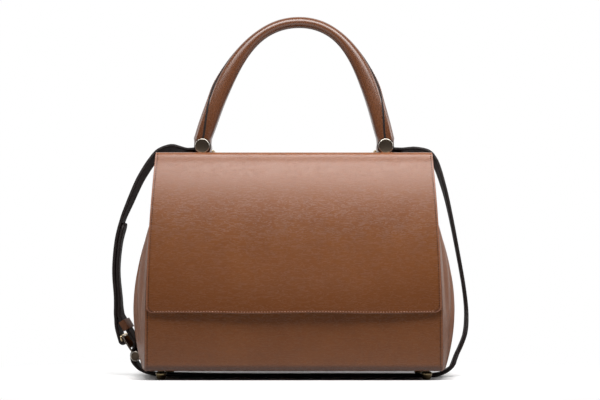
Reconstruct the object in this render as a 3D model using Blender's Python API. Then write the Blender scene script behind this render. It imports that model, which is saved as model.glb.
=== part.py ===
import math

import bmesh
import bpy
from mathutils import Matrix, Vector

# A structured leather handbag with a top flap, a rolled arch handle and a buckled shoulder strap.
# Metres, +Z up, the front faces -Y and the underside of the strap lies on z = 0.

# Sizes of the body
base_width = 0.320
top_width = 0.302
base_depth = 0.160
top_depth = 0.070
panel_height = 0.2335
foot_height = 0.010
lean_power = 2.4
straight_height = 0.065
side_swell = 0.0015
clearance = 0.0003

# Sheet thicknesses
leather = 0.0020
gusset_leather = 0.0016
lining_thickness = 0.0010
lid_board_thickness = 0.0016
base_board_thickness = 0.0025

# Gussets
flange_width = 0.010
gusset_corner = 0.006
belly_height = 0.065
belly_reach = 0.020
crease_base_reach = 0.0095
crease_tuck = 0.024
crease_power = 1.9
hump_power = 1.5
hump_ease = 1.3
gusset_dip = 0.026

# Front flap
flap_hem_height = 0.062
flap_hem_width = 0.317
flap_top_width = 0.3055
flap_corner_radius = 0.0075

# Feet, measured in from the edges of the base
foot_inset_x = 0.0162
foot_inset_y = 0.022
foot_radius = 0.0060
foot_neck_radius = 0.0032
foot_tip_radius = 0.0034
foot_collar_height = 0.0090
foot_shoulder_height = 0.0074
foot_edge_height = 0.0048
foot_stud_radius = 0.0014
stud_play = 0.0003
drill_reach = 0.02

# Magnets of the flap
magnet_radius = 0.008
magnet_spread = 0.060
magnet_height = 0.085
magnet_hole_depth = 0.012

# Handle and its barrels
barrel_spread = 0.1025
barrel_length = 0.040
barrel_cap_length = 0.004
barrel_cap_radius = 0.0083
barrel_chamfer = 0.0010
barrel_core_radius = 0.0056
barrel_stud_radius = 0.0014
wrap_radius = 0.0094
handle_rise = 0.1324
handle_leg_pull = 0.046
handle_left_lean = 0.0150
handle_right_lean = 0.0126
handle_left_shoulder = 0.0645
handle_right_shoulder = 0.0690
handle_sway = 0.0057
handle_sway_power = 1.5
handle_level_end = 0.16
handle_slim_start = 0.33
handle_slim_end = 0.80
handle_narrow_start = 0.05
handle_narrow_end = 0.75
handle_foot_roundness = 0.6
handle_leg_thickness = 0.0195
handle_grip_thickness = 0.0125
handle_grip_width = 0.0165

# Shoulder strap, its rings and its tabs
strap_width = 0.020
strap_thickness = 0.0036
strap_fold_length = 0.016
strap_edge_share = 0.3
strap_level = 0.060
tail_low = 0.064
tail_high = 0.170
ring_bar_x = 0.110
ring_length = 0.014
ring_play = 0.003
ring_wire = 0.003
ring_rise = 0.008
ring_corner = 0.003
tab_width = 0.009
tab_thickness = 0.0016
tab_length = 0.018
tab_seam = 0.012
tab_bend_drop = 0.006
tab_bend_rise = 0.0035
tab_return_drop = 0.004

# Strap clip at the lower left of the bag
clip_gap = 0.0007
clip_y = 0.024
clip_z = 0.0236
clip_cap_radius = 0.0059
clip_cap_length = 0.003
clip_core_radius = 0.0035
clip_chamfer = 0.0007
clip_plate_thickness = 0.0016
clip_plate_length = 0.0203
clip_fork_depth = 0.0048
clip_lean = 0.64
clip_turn = 0.20
frame_wire = 0.0024
frame_bar_gap = 0.0055
frame_lean = -0.0010
frame_fold_start = 190
frame_fold_end = 315
clip_fold_start = -20
clip_fold_end = 42

# Strap keeper
keeper_length = 0.0115
keeper_wall = 0.0014
keeper_lift = 0.002
keeper_drop = 0.006
keeper_station = 0.0249
keeper_lean = 0.54
keeper_line_x = -0.0008
keeper_line_z = 0.0130
keeper_lead = 0.017
keeper_lead_step = 0.006
keeper_run_out = 0.004

# Steps of the curved shapes
panel_rows = 14
hump_steps = 16
corner_steps = 4
roll_steps = 6
hem_steps = 5
handle_steps = 36
handle_sides = 16
round_steps = 20
wrap_steps = 32
route_step = 0.011
fold_steps = 8
clip_fold_steps = 3
bend_steps = 3

# Heights and offsets that follow from the sizes above
base_z = foot_height
panel_top = base_z + panel_height
flap_stack = clearance + lining_thickness + clearance + leather
lid_stack = leather + clearance + lid_board_thickness + clearance + lining_thickness
lid_top = panel_top + clearance + lid_stack
lean_rate = (base_depth - top_depth) / 2 * lean_power / panel_height
top_lean = math.atan(lean_rate)
roll_radius = (lid_top - panel_top - flap_stack * math.sin(top_lean)) / (1 - math.sin(top_lean))
flap_hinge_y = -(top_depth / 2 + (flap_stack - roll_radius) * math.cos(top_lean))
lid_hinge_y = top_depth / 2
foot_spread_x = base_width / 2 - foot_inset_x
foot_spread_y = base_depth / 2 - foot_inset_y
barrel_z = lid_top + clearance + barrel_cap_radius
ring_z = lid_top + ring_rise
tab_loop_radius = ring_wire / 2 + clearance + tab_thickness / 2
ring_inner_width = strap_width + 2 * ring_play


def clear_scene():
    for item in list(bpy.data.objects):
        bpy.data.objects.remove(item, do_unlink=True)


def make_material(name, colour, roughness, metallic=0.0):
    material = bpy.data.materials.new(name)
    material.use_nodes = True
    shader = material.node_tree.nodes["Principled BSDF"]
    shader.inputs["Base Color"].default_value = (*colour, 1.0)
    shader.inputs["Roughness"].default_value = roughness
    shader.inputs["Metallic"].default_value = metallic
    material.diffuse_color = (*colour, 1.0)
    return material


def leather_material(name):
    return make_material(name, (0.155, 0.052, 0.017), 0.45)


def dark_leather_material(name):
    return make_material(name, (0.012, 0.008, 0.007), 0.5)


def lining_material(name):
    return make_material(name, (0.10, 0.055, 0.03), 0.9)


def board_material(name):
    return make_material(name, (0.20, 0.15, 0.10), 0.9)


def brass_material(name):
    return make_material(name, (0.75, 0.56, 0.28), 0.25, 1.0)


def bronze_material(name):
    return make_material(name, (0.10, 0.085, 0.05), 0.35, 1.0)


def steel_material(name):
    return make_material(name, (0.35, 0.34, 0.32), 0.4, 1.0)


def add_object(name, mesh, material, smooth=False):
    item = bpy.data.objects.new(name, mesh)
    bpy.context.scene.collection.objects.link(item)
    mesh.materials.clear()
    mesh.materials.append(material(name + "_material"))
    if smooth:
        mesh.shade_smooth()
        mesh.set_sharp_from_angle(angle=math.radians(35))
    return item


def mesh_from(name, points, faces):
    mesh = bpy.data.meshes.new(name)
    mesh.from_pydata([tuple(point) for point in points], [], faces)
    face_outwards(mesh)
    return mesh


def face_outwards(mesh):
    work = bmesh.new()
    work.from_mesh(mesh)
    bmesh.ops.recalc_face_normals(work, faces=work.faces)
    if work.calc_volume(signed=True) < 0:
        bmesh.ops.reverse_faces(work, faces=work.faces)
    work.to_mesh(mesh)
    work.free()


def sheet_mesh(name, outer, inner):
    # Closes a sheet between two grids of points that have the same rows and columns
    rows = len(outer)
    columns = len(outer[0])
    points = [point for row in outer for point in row] + [point for row in inner for point in row]
    back = rows * columns
    faces = []
    for row in range(rows - 1):
        for column in range(columns - 1):
            a = row * columns + column
            for b in (a, back + a):
                faces.append((b, b + 1, b + columns + 1))
                faces.append((b, b + columns + 1, b + columns))
    for row in range(rows - 1):
        for a in (row * columns, row * columns + columns - 1):
            faces.append((a, a + columns, back + a + columns, back + a))
    for column in range(columns - 1):
        for a in (column, (rows - 1) * columns + column):
            faces.append((a, a + 1, back + a + 1, back + a))
    return mesh_from(name, points, faces)


def loft_mesh(name, rings, closed=False):
    # Joins rings of equal length and caps both ends, or joins the last ring to the first
    count = len(rings[0])
    points = [point for ring in rings for point in ring]
    faces = []
    last = len(rings) if closed else len(rings) - 1
    for ring in range(last):
        here = ring * count
        there = (ring + 1) % len(rings) * count
        for side in range(count):
            after = (side + 1) % count
            faces.append((here + side, here + after, there + after, there + side))
    if not closed:
        faces.append(tuple(range(count)))
        end = (len(rings) - 1) * count
        faces.append(tuple(end + side for side in reversed(range(count))))
    return mesh_from(name, points, faces)


def turned_object(name, profile, material, steps=round_steps):
    # Turns a radius and height profile, listed from the top down, about Z
    mesh = bpy.data.meshes.new(name)
    points = [(radius, 0.0, height) for radius, height in profile]
    mesh.from_pydata(points, [(a, a + 1) for a in range(len(points) - 1)], [])
    item = bpy.data.objects.new(name, mesh)
    bpy.context.scene.collection.objects.link(item)
    screw = item.modifiers.new("turn", "SCREW")
    screw.steps = steps
    screw.render_steps = steps
    screw.use_merge_vertices = True
    screw.merge_threshold = 0.00001
    screw.use_normal_calculate = True
    turned = apply_modifiers(item)
    turned.materials.clear()
    turned.materials.append(material(name + "_material"))
    turned.shade_smooth()
    turned.set_sharp_from_angle(angle=math.radians(35))
    return item


def apply_modifiers(item):
    bpy.context.view_layer.update()
    graph = bpy.context.evaluated_depsgraph_get()
    mesh = bpy.data.meshes.new_from_object(item.evaluated_get(graph))
    item.modifiers.clear()
    item.data = mesh
    face_outwards(mesh)
    return mesh


def cylinder_cutter(name, radius, length, matrix):
    mesh = bpy.data.meshes.new(name)
    work = bmesh.new()
    bmesh.ops.create_cone(
        work, cap_ends=True, segments=round_steps, radius1=radius, radius2=radius, depth=length
    )
    work.to_mesh(mesh)
    work.free()
    cutter = bpy.data.objects.new(name, mesh)
    bpy.context.scene.collection.objects.link(cutter)
    cutter.matrix_world = matrix
    cutter.hide_render = True
    cutter.display_type = "WIRE"
    return cutter


def join_or_cut(item, tool, operation):
    change = item.modifiers.new(operation.lower(), "BOOLEAN")
    change.operation = operation
    change.solver = "EXACT"
    change.object = tool
    apply_modifiers(item)
    bpy.data.objects.remove(tool, do_unlink=True)


def add_empty(name, location, parent=None):
    empty = bpy.data.objects.new(name, None)
    empty.empty_display_size = 0.02
    bpy.context.scene.collection.objects.link(empty)
    empty.parent = parent
    empty.location = location
    return empty


def hang_on(item, empty, origin):
    # Gives a piece its origin on the joint of the empty that carries it
    bpy.context.view_layer.update()
    item.data.transform(Matrix.Translation(-Vector(origin)) @ item.matrix_world)
    item.matrix_world = Matrix.Identity(4)
    item.parent = empty
    item.location = (0.0, 0.0, 0.0)


def body_fraction(z):
    return min(max((z - base_z) / panel_height, 0.0), 1.0)


def half_depth(z):
    return base_depth / 2 - (base_depth - top_depth) / 2 * body_fraction(z) ** lean_power


def swell(part):
    # The sides of the walls and of the flap curve out a little at middle height
    return side_swell * 4 * max(part * (1 - part), 0.0)


def half_width(z):
    part = max(z - base_z - straight_height, 0.0) / (panel_height - straight_height)
    return base_width / 2 - (base_width - top_width) / 2 * part + swell(part)


def flap_half_width(z):
    part = min(max(z - base_z - flap_hem_height, 0.0) / (lid_top - base_z - flap_hem_height), 1.0)
    return flap_hem_width / 2 - (flap_hem_width - flap_top_width) / 2 * part + swell(part)


def profile_point(z, offset):
    # A point of the back wall's outer face, moved out along its normal
    slope = -lean_rate * body_fraction(z) ** (lean_power - 1)
    size = math.hypot(1.0, slope)
    return half_depth(z) + offset / size, z - offset * slope / size


def crease_reach(z):
    belly_z = base_z + belly_height
    if z < belly_z:
        part = (belly_z - z) / belly_height
        return belly_reach - (belly_reach - crease_base_reach) * part ** 2
    part = (z - belly_z) / (panel_height - belly_height)
    return belly_reach - (belly_reach + crease_tuck) * part ** crease_power


def hump_share(part):
    # How far the gusset's hump comes out at a share of its depth, 1 at the middle
    return max(1 - abs(part) ** hump_power, 0.0) ** hump_ease


def clip_place():
    # The clip's barrel hangs just outside the left gusset, where the first of its two ends meets it
    length = strap_width / 2 + clip_cap_length + 2 * clearance
    side = half_depth(clip_z) - leather - clearance - gusset_corner
    places = []
    for end in (-1, 1):
        share = hump_share((clip_y + end * length * math.cos(clip_turn)) / side)
        outward = end * length * math.sin(clip_turn) * math.cos(clip_lean)
        places.append(crease_reach(clip_z) * share + outward)
    return half_width(clip_z) + max(places) + clip_cap_radius + clip_gap


def rim_height(part):
    return panel_top - gusset_dip * (1 - part * part) ** 2


def side_section(z):
    # The right gusset's outer line at one height, front to back, with each point's share of the depth
    width = half_width(z)
    depth = half_depth(z) - leather - clearance
    line = [((width - flange_width, -depth), 1.0)]
    for step in range(corner_steps + 1):
        turn = math.pi / 2 * step / corner_steps
        x = width - gusset_corner + gusset_corner * math.sin(turn)
        y = -depth + gusset_corner - gusset_corner * math.cos(turn)
        line.append(((x, y), 1.0))
    side = depth - gusset_corner
    for step in range(1, hump_steps):
        part = -1 + 2 * step / hump_steps
        x = width + crease_reach(z) * hump_share(part)
        line.append(((x, part * side), abs(part)))
    for step in range(corner_steps, -1, -1):
        turn = math.pi / 2 * step / corner_steps
        x = width - gusset_corner + gusset_corner * math.sin(turn)
        y = depth - gusset_corner + gusset_corner * math.cos(turn)
        line.append(((x, y), 1.0))
    line.append(((width - flange_width, depth), 1.0))
    return line


def inset_line(line, inset, closed):
    moved = []
    count = len(line)
    for index, point in enumerate(line):
        before = line[index - 1] if closed or index else point
        after = line[(index + 1) % count] if closed or index < count - 1 else point
        first = Vector((point[0] - before[0], point[1] - before[1]))
        second = Vector((after[0] - point[0], after[1] - point[1]))
        if first.length < 1e-9:
            first = second
        if second.length < 1e-9:
            second = first
        first.normalize()
        second.normalize()
        normal = Vector((-first.y - second.y, first.x + second.x)).normalized()
        reach = inset / max(normal.dot(Vector((-first.y, first.x))), 0.5)
        moved.append((point[0] + normal.x * reach, point[1] + normal.y * reach))
    return moved


def wall_ring(z, inset):
    # The closed line inside the front and back walls and both gussets
    right = [point for point, part in side_section(z)]
    left = [(-x, y) for x, y in reversed(right)]
    return inset_line(right + left, inset, True)


def wall_parts():
    right = [part for point, part in side_section(panel_top)]
    return right + right[::-1]


def row_heights(low, high, rows):
    return [low + (high - low) * row / (rows - 1) for row in range(rows)]


def make_wall(name, front):
    side = -1 if front else 1
    outer = []
    inner = []
    for z in row_heights(base_z, panel_top, panel_rows):
        width = half_width(z)
        for grid, offset in ((outer, 0.0), (inner, -leather)):
            y, height = profile_point(z, offset)
            grid.append([(x, side * y, height) for x in (-width, 0.0, width)])
    return add_object(name, sheet_mesh(name, outer, inner), leather_material, True)


def make_gusset(name, mirror):
    outer = []
    inner = []
    parts = [part for point, part in side_section(panel_top)]
    for row in range(panel_rows):
        share = row / (panel_rows - 1)
        outer_row = []
        inner_row = []
        for index, part in enumerate(parts):
            z = base_z + (rim_height(part) - base_z) * share
            line = [point for point, other in side_section(z)]
            x, y = line[index]
            outer_row.append((mirror * x, y, z))
            x, y = inset_line(line, gusset_leather, False)[index]
            inner_row.append((mirror * x, y, z))
        outer.append(outer_row[::mirror])
        inner.append(inner_row[::mirror])
    return add_object(name, sheet_mesh(name, outer, inner), leather_material, True)


def make_plate(name, low, thickness, inset, material):
    # A flat plate that fits inside the walls
    rings = []
    for z in (low, low + thickness):
        rings.append([(x, y, z) for x, y in wall_ring(low, inset)])
    return add_object(name, loft_mesh(name, rings), material)


def make_lining():
    floor = base_z + leather + clearance + base_board_thickness + clearance
    outset = gusset_leather + clearance
    parts = wall_parts()
    count = len(parts)
    points = []
    faces = []
    rings = 0
    for inset, bottom in ((outset, floor), (outset + lining_thickness, floor + lining_thickness)):
        for row in range(panel_rows):
            share = row / (panel_rows - 1)
            for index, part in enumerate(parts):
                z = max(bottom, base_z + (rim_height(part) - base_z) * share)
                x, y = wall_ring(z, inset)[index]
                points.append((x, y, z))
            rings += 1
    for ring in range(rings - 1):
        if ring == panel_rows - 1:
            continue
        for side in range(count):
            after = (side + 1) % count
            here = ring * count
            faces.append((here + side, here + after, here + count + after))
            faces.append((here + side, here + count + after, here + count + side))
    rim = (panel_rows - 1) * count
    inner_rim = (rings - 1) * count
    for side in range(count):
        after = (side + 1) % count
        faces.append((rim + side, rim + after, inner_rim + after, inner_rim + side))
    faces.append(tuple(range(count)))
    faces.append(tuple(panel_rows * count + side for side in range(count)))
    return add_object("lining", mesh_from("lining", points, faces), lining_material, True)


def make_foot(name, x, y):
    stud_top = base_z + leather + clearance + base_board_thickness
    profile = [
        (0.0, stud_top),
        (foot_stud_radius, stud_top),
        (foot_stud_radius, foot_height - clearance),
        (foot_neck_radius, foot_height - clearance),
        (foot_neck_radius, foot_collar_height),
        (foot_radius, foot_shoulder_height),
        (foot_radius, foot_edge_height),
        (foot_tip_radius, 0.0),
        (0.0, 0.0),
    ]
    foot = turned_object(name, profile, brass_material)
    foot.location = (x, y, 0.0)
    return foot


def drill_for_feet(plate):
    for x in (-foot_spread_x, foot_spread_x):
        for y in (-foot_spread_y, foot_spread_y):
            place = Matrix.Translation((x, y, base_z))
            tool = cylinder_cutter("foot_hole", foot_stud_radius + stud_play, drill_reach, place)
            join_or_cut(plate, tool, "DIFFERENCE")


def magnet_matrix(x, offset):
    y, z = profile_point(base_z + magnet_height, offset)
    ahead = profile_point(base_z + magnet_height, offset + 0.01)
    lean = math.atan2(ahead[1] - z, ahead[0] - y)
    return Matrix.Translation((x, -y, z)) @ Matrix.Rotation(math.pi / 2 - lean, 4, "X")


def make_magnet(name, x, offset, thickness):
    half = thickness / 2
    profile = [(0.0, half), (magnet_radius, half), (magnet_radius, -half), (0.0, -half)]
    magnet = turned_object(name, profile, steel_material)
    magnet.matrix_world = magnet_matrix(x, offset)
    return magnet


def flap_rows():
    # Points of the flap's outer line as base height, roll angle and distance from the hem
    rows = []
    hem = base_z + flap_hem_height
    for step in range(hem_steps + 1):
        reach = flap_corner_radius * (1 - math.cos(math.pi / 2 * step / hem_steps))
        rows.append((hem + reach, None, reach))
    low = hem + flap_corner_radius
    for step in range(1, panel_rows):
        z = low + (panel_top - low) * step / (panel_rows - 1)
        rows.append((z, None, z - hem))
    for step in range(1, roll_steps + 1):
        angle = (math.pi / 2 - top_lean) * (1 - step / roll_steps)
        rows.append((panel_top, angle, panel_top - hem))
    return rows


def make_flap_layer(name, outer_offset, inner_offset, edge, material):
    outer = []
    inner = []
    radius = flap_corner_radius - edge
    for z, angle, reach in flap_rows():
        for grid, offset in ((outer, outer_offset), (inner, inner_offset)):
            if angle is None:
                y, height = profile_point(z, offset)
                y = -y
            else:
                arc = roll_radius - flap_stack + offset
                y = flap_hinge_y - arc * math.sin(angle)
                height = lid_top - roll_radius + arc * math.cos(angle)
            width = flap_half_width(height) - edge
            if reach < flap_corner_radius:
                rest = radius * (1 - reach / flap_corner_radius)
                width -= radius - math.sqrt(max(radius * radius - rest * rest, 0.0))
            grid.append([(x, y, height) for x in (-width, -width / 2, 0.0, width / 2, width)])
    return add_object(name, sheet_mesh(name, outer, inner), material, True)


def make_lid_layer(name, top, thickness, edge, material):
    width = flap_top_width / 2 - edge
    front = flap_hinge_y + clearance / 2
    back = lid_hinge_y - clearance / 2
    outline = [(-width, front), (width, front), (width, back), (-width, back)]
    rings = [[(x, y, z) for x, y in outline] for z in (top - thickness, top)]
    return add_object(name, loft_mesh(name, rings), material)


def barrel_places():
    return [("left", -barrel_spread), ("right", barrel_spread)]


def barrel_stud_y():
    return barrel_length / 2 - barrel_cap_length / 2


def drill_for_barrels(layer):
    for side, x in barrel_places():
        for y in (-barrel_stud_y(), barrel_stud_y()):
            place = Matrix.Translation((x, y, lid_top))
            tool = cylinder_cutter("barrel_hole", barrel_stud_radius + stud_play, drill_reach, place)
            join_or_cut(layer, tool, "DIFFERENCE")


def spool_profile(length, cap_length, cap_radius, chamfer, core_radius):
    half = length / 2
    inner = half - cap_length
    top = [
        (0.0, half),
        (cap_radius - chamfer, half),
        (cap_radius, half - chamfer),
        (cap_radius, inner),
        (core_radius, inner),
    ]
    return top + [(radius, -height) for radius, height in reversed(top)]


def make_barrel(name, x):
    profile = spool_profile(
        barrel_length, barrel_cap_length, barrel_cap_radius, barrel_chamfer, barrel_core_radius
    )
    barrel = turned_object(name, profile, bronze_material)
    barrel.data.transform(Matrix.Rotation(math.pi / 2, 4, "X"))
    barrel.location = (x, 0.0, barrel_z)
    bpy.context.view_layer.update()
    low = lid_top - leather - clearance - lid_board_thickness
    length = barrel_z - barrel_cap_radius / 2 - low
    for y in (-barrel_stud_y(), barrel_stud_y()):
        place = Matrix.Translation((x, y, low + length / 2))
        join_or_cut(barrel, cylinder_cutter("stud", barrel_stud_radius, length, place), "UNION")
    return barrel


def make_wrap(name, x):
    # The leather end of the handle, folded round the barrel's core and flat where it nears the lid
    half = barrel_length / 2 - barrel_cap_length - clearance
    floor = barrel_z - lid_top - clearance
    rings = []
    for step in range(wrap_steps):
        angle = 2 * math.pi * step / wrap_steps
        across = math.cos(angle)
        up = math.sin(angle)
        outer = wrap_radius
        if -up * outer > floor:
            outer = floor / -up
        inner = barrel_core_radius + clearance
        rings.append(
            [
                (across * outer, -half, up * outer),
                (across * outer, half, up * outer),
                (across * inner, half, up * inner),
                (across * inner, -half, up * inner),
            ]
        )
    wrap = add_object(name, loft_mesh(name, rings, True), leather_material, True)
    wrap.location = (x, 0.0, barrel_z)
    return wrap


def smooth_step(value, low, high):
    part = min(max((value - low) / (high - low), 0.0), 1.0)
    return part * part * (3 - 2 * part)


def handle_point(share):
    # The centre line of the arch, from the left barrel at 0 to the right barrel at 1
    side = -1 if share < 0.5 else 1
    along = 1 - abs(2 * share - 1)
    lean = handle_left_lean if side < 0 else handle_right_lean
    shoulder = handle_left_shoulder if side < 0 else handle_right_shoulder
    start = Vector((barrel_spread, barrel_z + wrap_radius + clearance))
    top = Vector((0.0, start.y + handle_rise))
    lower = start + Vector((-lean, handle_leg_pull))
    upper = top + Vector((shoulder, 0.0))
    rest = 1 - along
    place = (
        start * rest ** 3
        + lower * 3 * rest ** 2 * along
        + upper * 3 * rest * along ** 2
        + top * along ** 3
    )
    sway = handle_sway * along ** handle_sway_power
    return Vector((side * place.x + sway, 0.0, place.y)), along


def make_handle():
    end_width = barrel_length - 2 * barrel_cap_length - 2 * clearance
    rings = []
    for step in range(handle_steps + 1):
        share = step / handle_steps
        centre, along = handle_point(share)
        before = handle_point(max(share - 0.01, 0.0))[0]
        after = handle_point(min(share + 0.01, 1.0))[0]
        tangent = (after - before).normalized()
        across = Vector((tangent.z, 0.0, -tangent.x))
        level = Vector((1.0 if share < 0.5 else -1.0, 0.0, 0.0))
        blend = smooth_step(along, 0.0, handle_level_end)
        direction = (level * (1 - blend) + across * blend).normalized()
        slim = smooth_step(along, handle_slim_start, handle_slim_end)
        thick = handle_leg_thickness + (handle_grip_thickness - handle_leg_thickness) * slim
        narrow = smooth_step(along, handle_narrow_start, handle_narrow_end)
        wide = end_width + (handle_grip_width - end_width) * narrow
        ring = []
        for side in range(handle_sides):
            angle = 2 * math.pi * (side + 0.5) / handle_sides
            x = math.cos(angle)
            y = math.sin(angle)
            power = handle_foot_roundness + (1 - handle_foot_roundness) * narrow
            x = math.copysign(abs(x) ** power, x)
            y = math.copysign(abs(y) ** power, y)
            ring.append(centre + direction * (x * thick / 2) + Vector((0.0, y * wide / 2, 0.0)))
        rings.append(ring)
    return add_object("handle", loft_mesh("handle", rings), leather_material, True)


def smooth_route(points, step_length):
    # Reads a smooth curve of place and twist through the route's own points
    result = []
    count = len(points)
    for index in range(count - 1):
        a = Vector(points[max(index - 1, 0)])
        b = Vector(points[index])
        c = Vector(points[index + 1])
        d = Vector(points[min(index + 2, count - 1)])
        steps = max(1, round((c - b).xyz.length / step_length))
        for step in range(steps):
            t = step / steps
            result.append(
                0.5
                * (
                    2 * b
                    + (c - a) * t
                    + (2 * a - 5 * b + 4 * c - d) * t ** 2
                    + (3 * b - a - 3 * c + d) * t ** 3
                )
            )
    result.append(Vector(points[-1]))
    return result


def strap_width_direction(tangent, twist):
    width = Vector((0.0, 1.0, 0.0))
    width = (width - tangent * width.dot(tangent)).normalized()
    return Matrix.Rotation(twist, 3, tangent) @ width


def ribbon_mesh(name, route):
    rings = []
    edge = strap_thickness * strap_edge_share
    half_w = strap_width / 2
    half_t = strap_thickness / 2
    section = [
        (-half_w, -half_t + edge),
        (-half_w + edge, -half_t),
        (half_w - edge, -half_t),
        (half_w, -half_t + edge),
        (half_w, half_t - edge),
        (half_w - edge, half_t),
        (-half_w + edge, half_t),
        (-half_w, half_t - edge),
    ]
    for index, place in enumerate(route):
        before = route[max(index - 1, 0)].xyz
        after = route[min(index + 1, len(route) - 1)].xyz
        tangent = (after - before).normalized()
        width = strap_width_direction(tangent, place.w)
        normal = tangent.cross(width)
        rings.append([place.xyz + width * w + normal * t for w, t in section])
    return loft_mesh(name, rings)


def ring_bar_y():
    front_bar = profile_point(panel_top, 0.0)[0] + 2 * clearance + tab_thickness / 2
    return front_bar + tab_loop_radius + leather


def ring_centre_y():
    return ring_bar_y() + ring_inner_width / 2 + ring_wire / 2


def fold_points(x, y, z, radius, side, start, end, steps):
    # A fold of the strap round a bar that lies along Y, from one angle to another in degrees
    points = []
    for step in range(steps + 1):
        angle = math.radians(start + (end - start) * step / steps)
        points.append((x + side * radius * math.cos(angle), y, z + radius * math.sin(angle), 0.0))
    return points


def ring_fold(side):
    # The strap's end under its main layer, and the fold round the ring's outer bar
    radius = ring_wire / 2 + clearance + strap_thickness / 2
    y = ring_centre_y()
    tail = (side * (ring_bar_x + strap_fold_length), y, ring_z - radius, 0.0)
    return [tail] + fold_points(side * ring_bar_x, y, ring_z, radius, side, 270, 90, fold_steps)


def route_y(z):
    # The strap leans forward from its ring to the clip
    low = base_z + strap_level
    share = min(max((z - low) / (ring_z - low), 0.0), 1.0)
    return clip_y + (ring_centre_y() - clip_y) * share


def hanging_points(side, stations):
    # Points of the strap beside the bag: distance out, share of the drop and twist
    points = []
    for out, share, twist in stations:
        z = base_z + (ring_z - base_z) * share
        points.append((side * out, route_y(z), z, twist))
    return points


def shoulder_points(side, stations):
    # Points where the strap leaves its ring and turns down: distance out, rise above the ring and twist
    points = []
    for out, rise, twist in stations:
        z = ring_z + rise
        points.append((side * out, route_y(min(z, ring_z)), z, twist))
    return points


def turned_points(points, shares):
    # Points of a strap turned with the clip about the keeper's line, each by its share of the turn
    start, direction = keeper_axis()
    turned = []
    widths = []
    for place, share in zip(points, shares):
        turn = Matrix.Rotation(-clip_turn * share, 3, direction)
        turned.append(start + turn @ (Vector(place[:3]) - start))
        widths.append(turn @ Vector((0.0, 1.0, 0.0)))
    result = []
    for index, place in enumerate(turned):
        before = turned[max(index - 1, 0)]
        after = turned[min(index + 1, len(turned) - 1)]
        tangent = (after - before).normalized()
        level = strap_width_direction(tangent, 0.0)
        twist = math.atan2(level.cross(widths[index]).dot(tangent), level.dot(widths[index]))
        result.append((place.x, place.y, place.z, twist))
    return result


def place_in_clip(piece, place):
    # A piece of the clip, placed and turned with it
    start, direction = keeper_axis()
    clip = add_empty(piece.name + "_turn", start)
    clip.rotation_euler = Matrix.Rotation(-clip_turn, 3, direction).to_euler()
    piece.parent = clip
    piece.location = Vector(place) - start


def upper_route():
    half_top = flap_top_width / 2
    reach = base_width / 2 + belly_reach
    layer = (strap_thickness + clearance) / 2
    radius = frame_wire / 2 + clearance + strap_thickness / 2
    bar_x, bar_z = frame_bar(0.0)
    top_x, top_z = frame_bar(1.0)
    shoulder = [
        (ring_bar_x + 0.014, 0.0010, 0.20),
        (half_top - 0.010, 0.0045, 0.30),
        (half_top + 0.0035, -0.0007, 0.32),
        (half_top + 0.0125, -0.0108, 0.28),
    ]
    hanging = [
        (half_top + 0.0254, 0.870, 0.25),
        (half_top + 0.0372, 0.757, 0.19),
        (reach + 0.0156, 0.700, 0.12),
        (reach + 0.0220 + layer / 2, 0.587, 0.03),
        (reach + 0.0234 + layer, 0.445, 0.0),
        (reach + 0.0204 + layer, 0.316, 0.0),
        (reach + 0.0192 + layer, 0.243, 0.0),
    ]
    entry = [
        (top_x - radius - 0.0036, clip_y, top_z + 0.019),
        (top_x - radius - 0.0027, clip_y, top_z + 0.008),
    ]
    fold = fold_points(bar_x, clip_y, bar_z, radius, 1, frame_fold_start, frame_fold_end, fold_steps)
    low = hanging_points(-1, hanging[-2:]) + entry + fold
    shares = [0.2, 0.75] + [1.0] * (len(entry) + len(fold))
    route = ring_fold(-1) + shoulder_points(-1, shoulder) + hanging_points(-1, hanging[:-2])
    return route + turned_points(low, shares)


def frame_bar(up):
    # Place of the strap frame's bars in X and Z, the lower bar at 0 and the upper at 1
    top_x = -clip_place() - (clip_cap_radius + clearance + clip_plate_length) * math.sin(clip_lean)
    top_z = clip_z + (clip_cap_radius + clearance + clip_plate_length) * math.cos(clip_lean)
    shift = frame_wire / 2 + clearance
    top_x -= shift * math.sin(clip_lean)
    top_z += shift * math.cos(clip_lean)
    return top_x - frame_lean * (1 - up), top_z - frame_bar_gap * (1 - up)


def keeper_axis():
    # The straight stretch of the lower strap that carries the keeper: its start and direction
    direction = Vector((-math.sin(keeper_lean), 0.0, math.cos(keeper_lean)))
    start = Vector((-clip_place() + keeper_line_x, clip_y, clip_z + keeper_line_z))
    return start, direction


def tail_points(upper):
    # The tail lies along the inside of the upper strap, from above the keeper to its tip
    points = []
    step = strap_thickness + 2 * clearance
    for index in range(len(upper) - 1, 0, -1):
        place = upper[index]
        if place.x > -half_width(place.z) - belly_reach or not tail_low <= place.z - base_z <= tail_high:
            continue
        tangent = (upper[index - 1].xyz - place.xyz).normalized()
        width = strap_width_direction(tangent, -place.w)
        normal = width.cross(tangent)
        inside = place.xyz + normal * step
        points.append((inside.x, inside.y, inside.z, -place.w))
    return points


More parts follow.
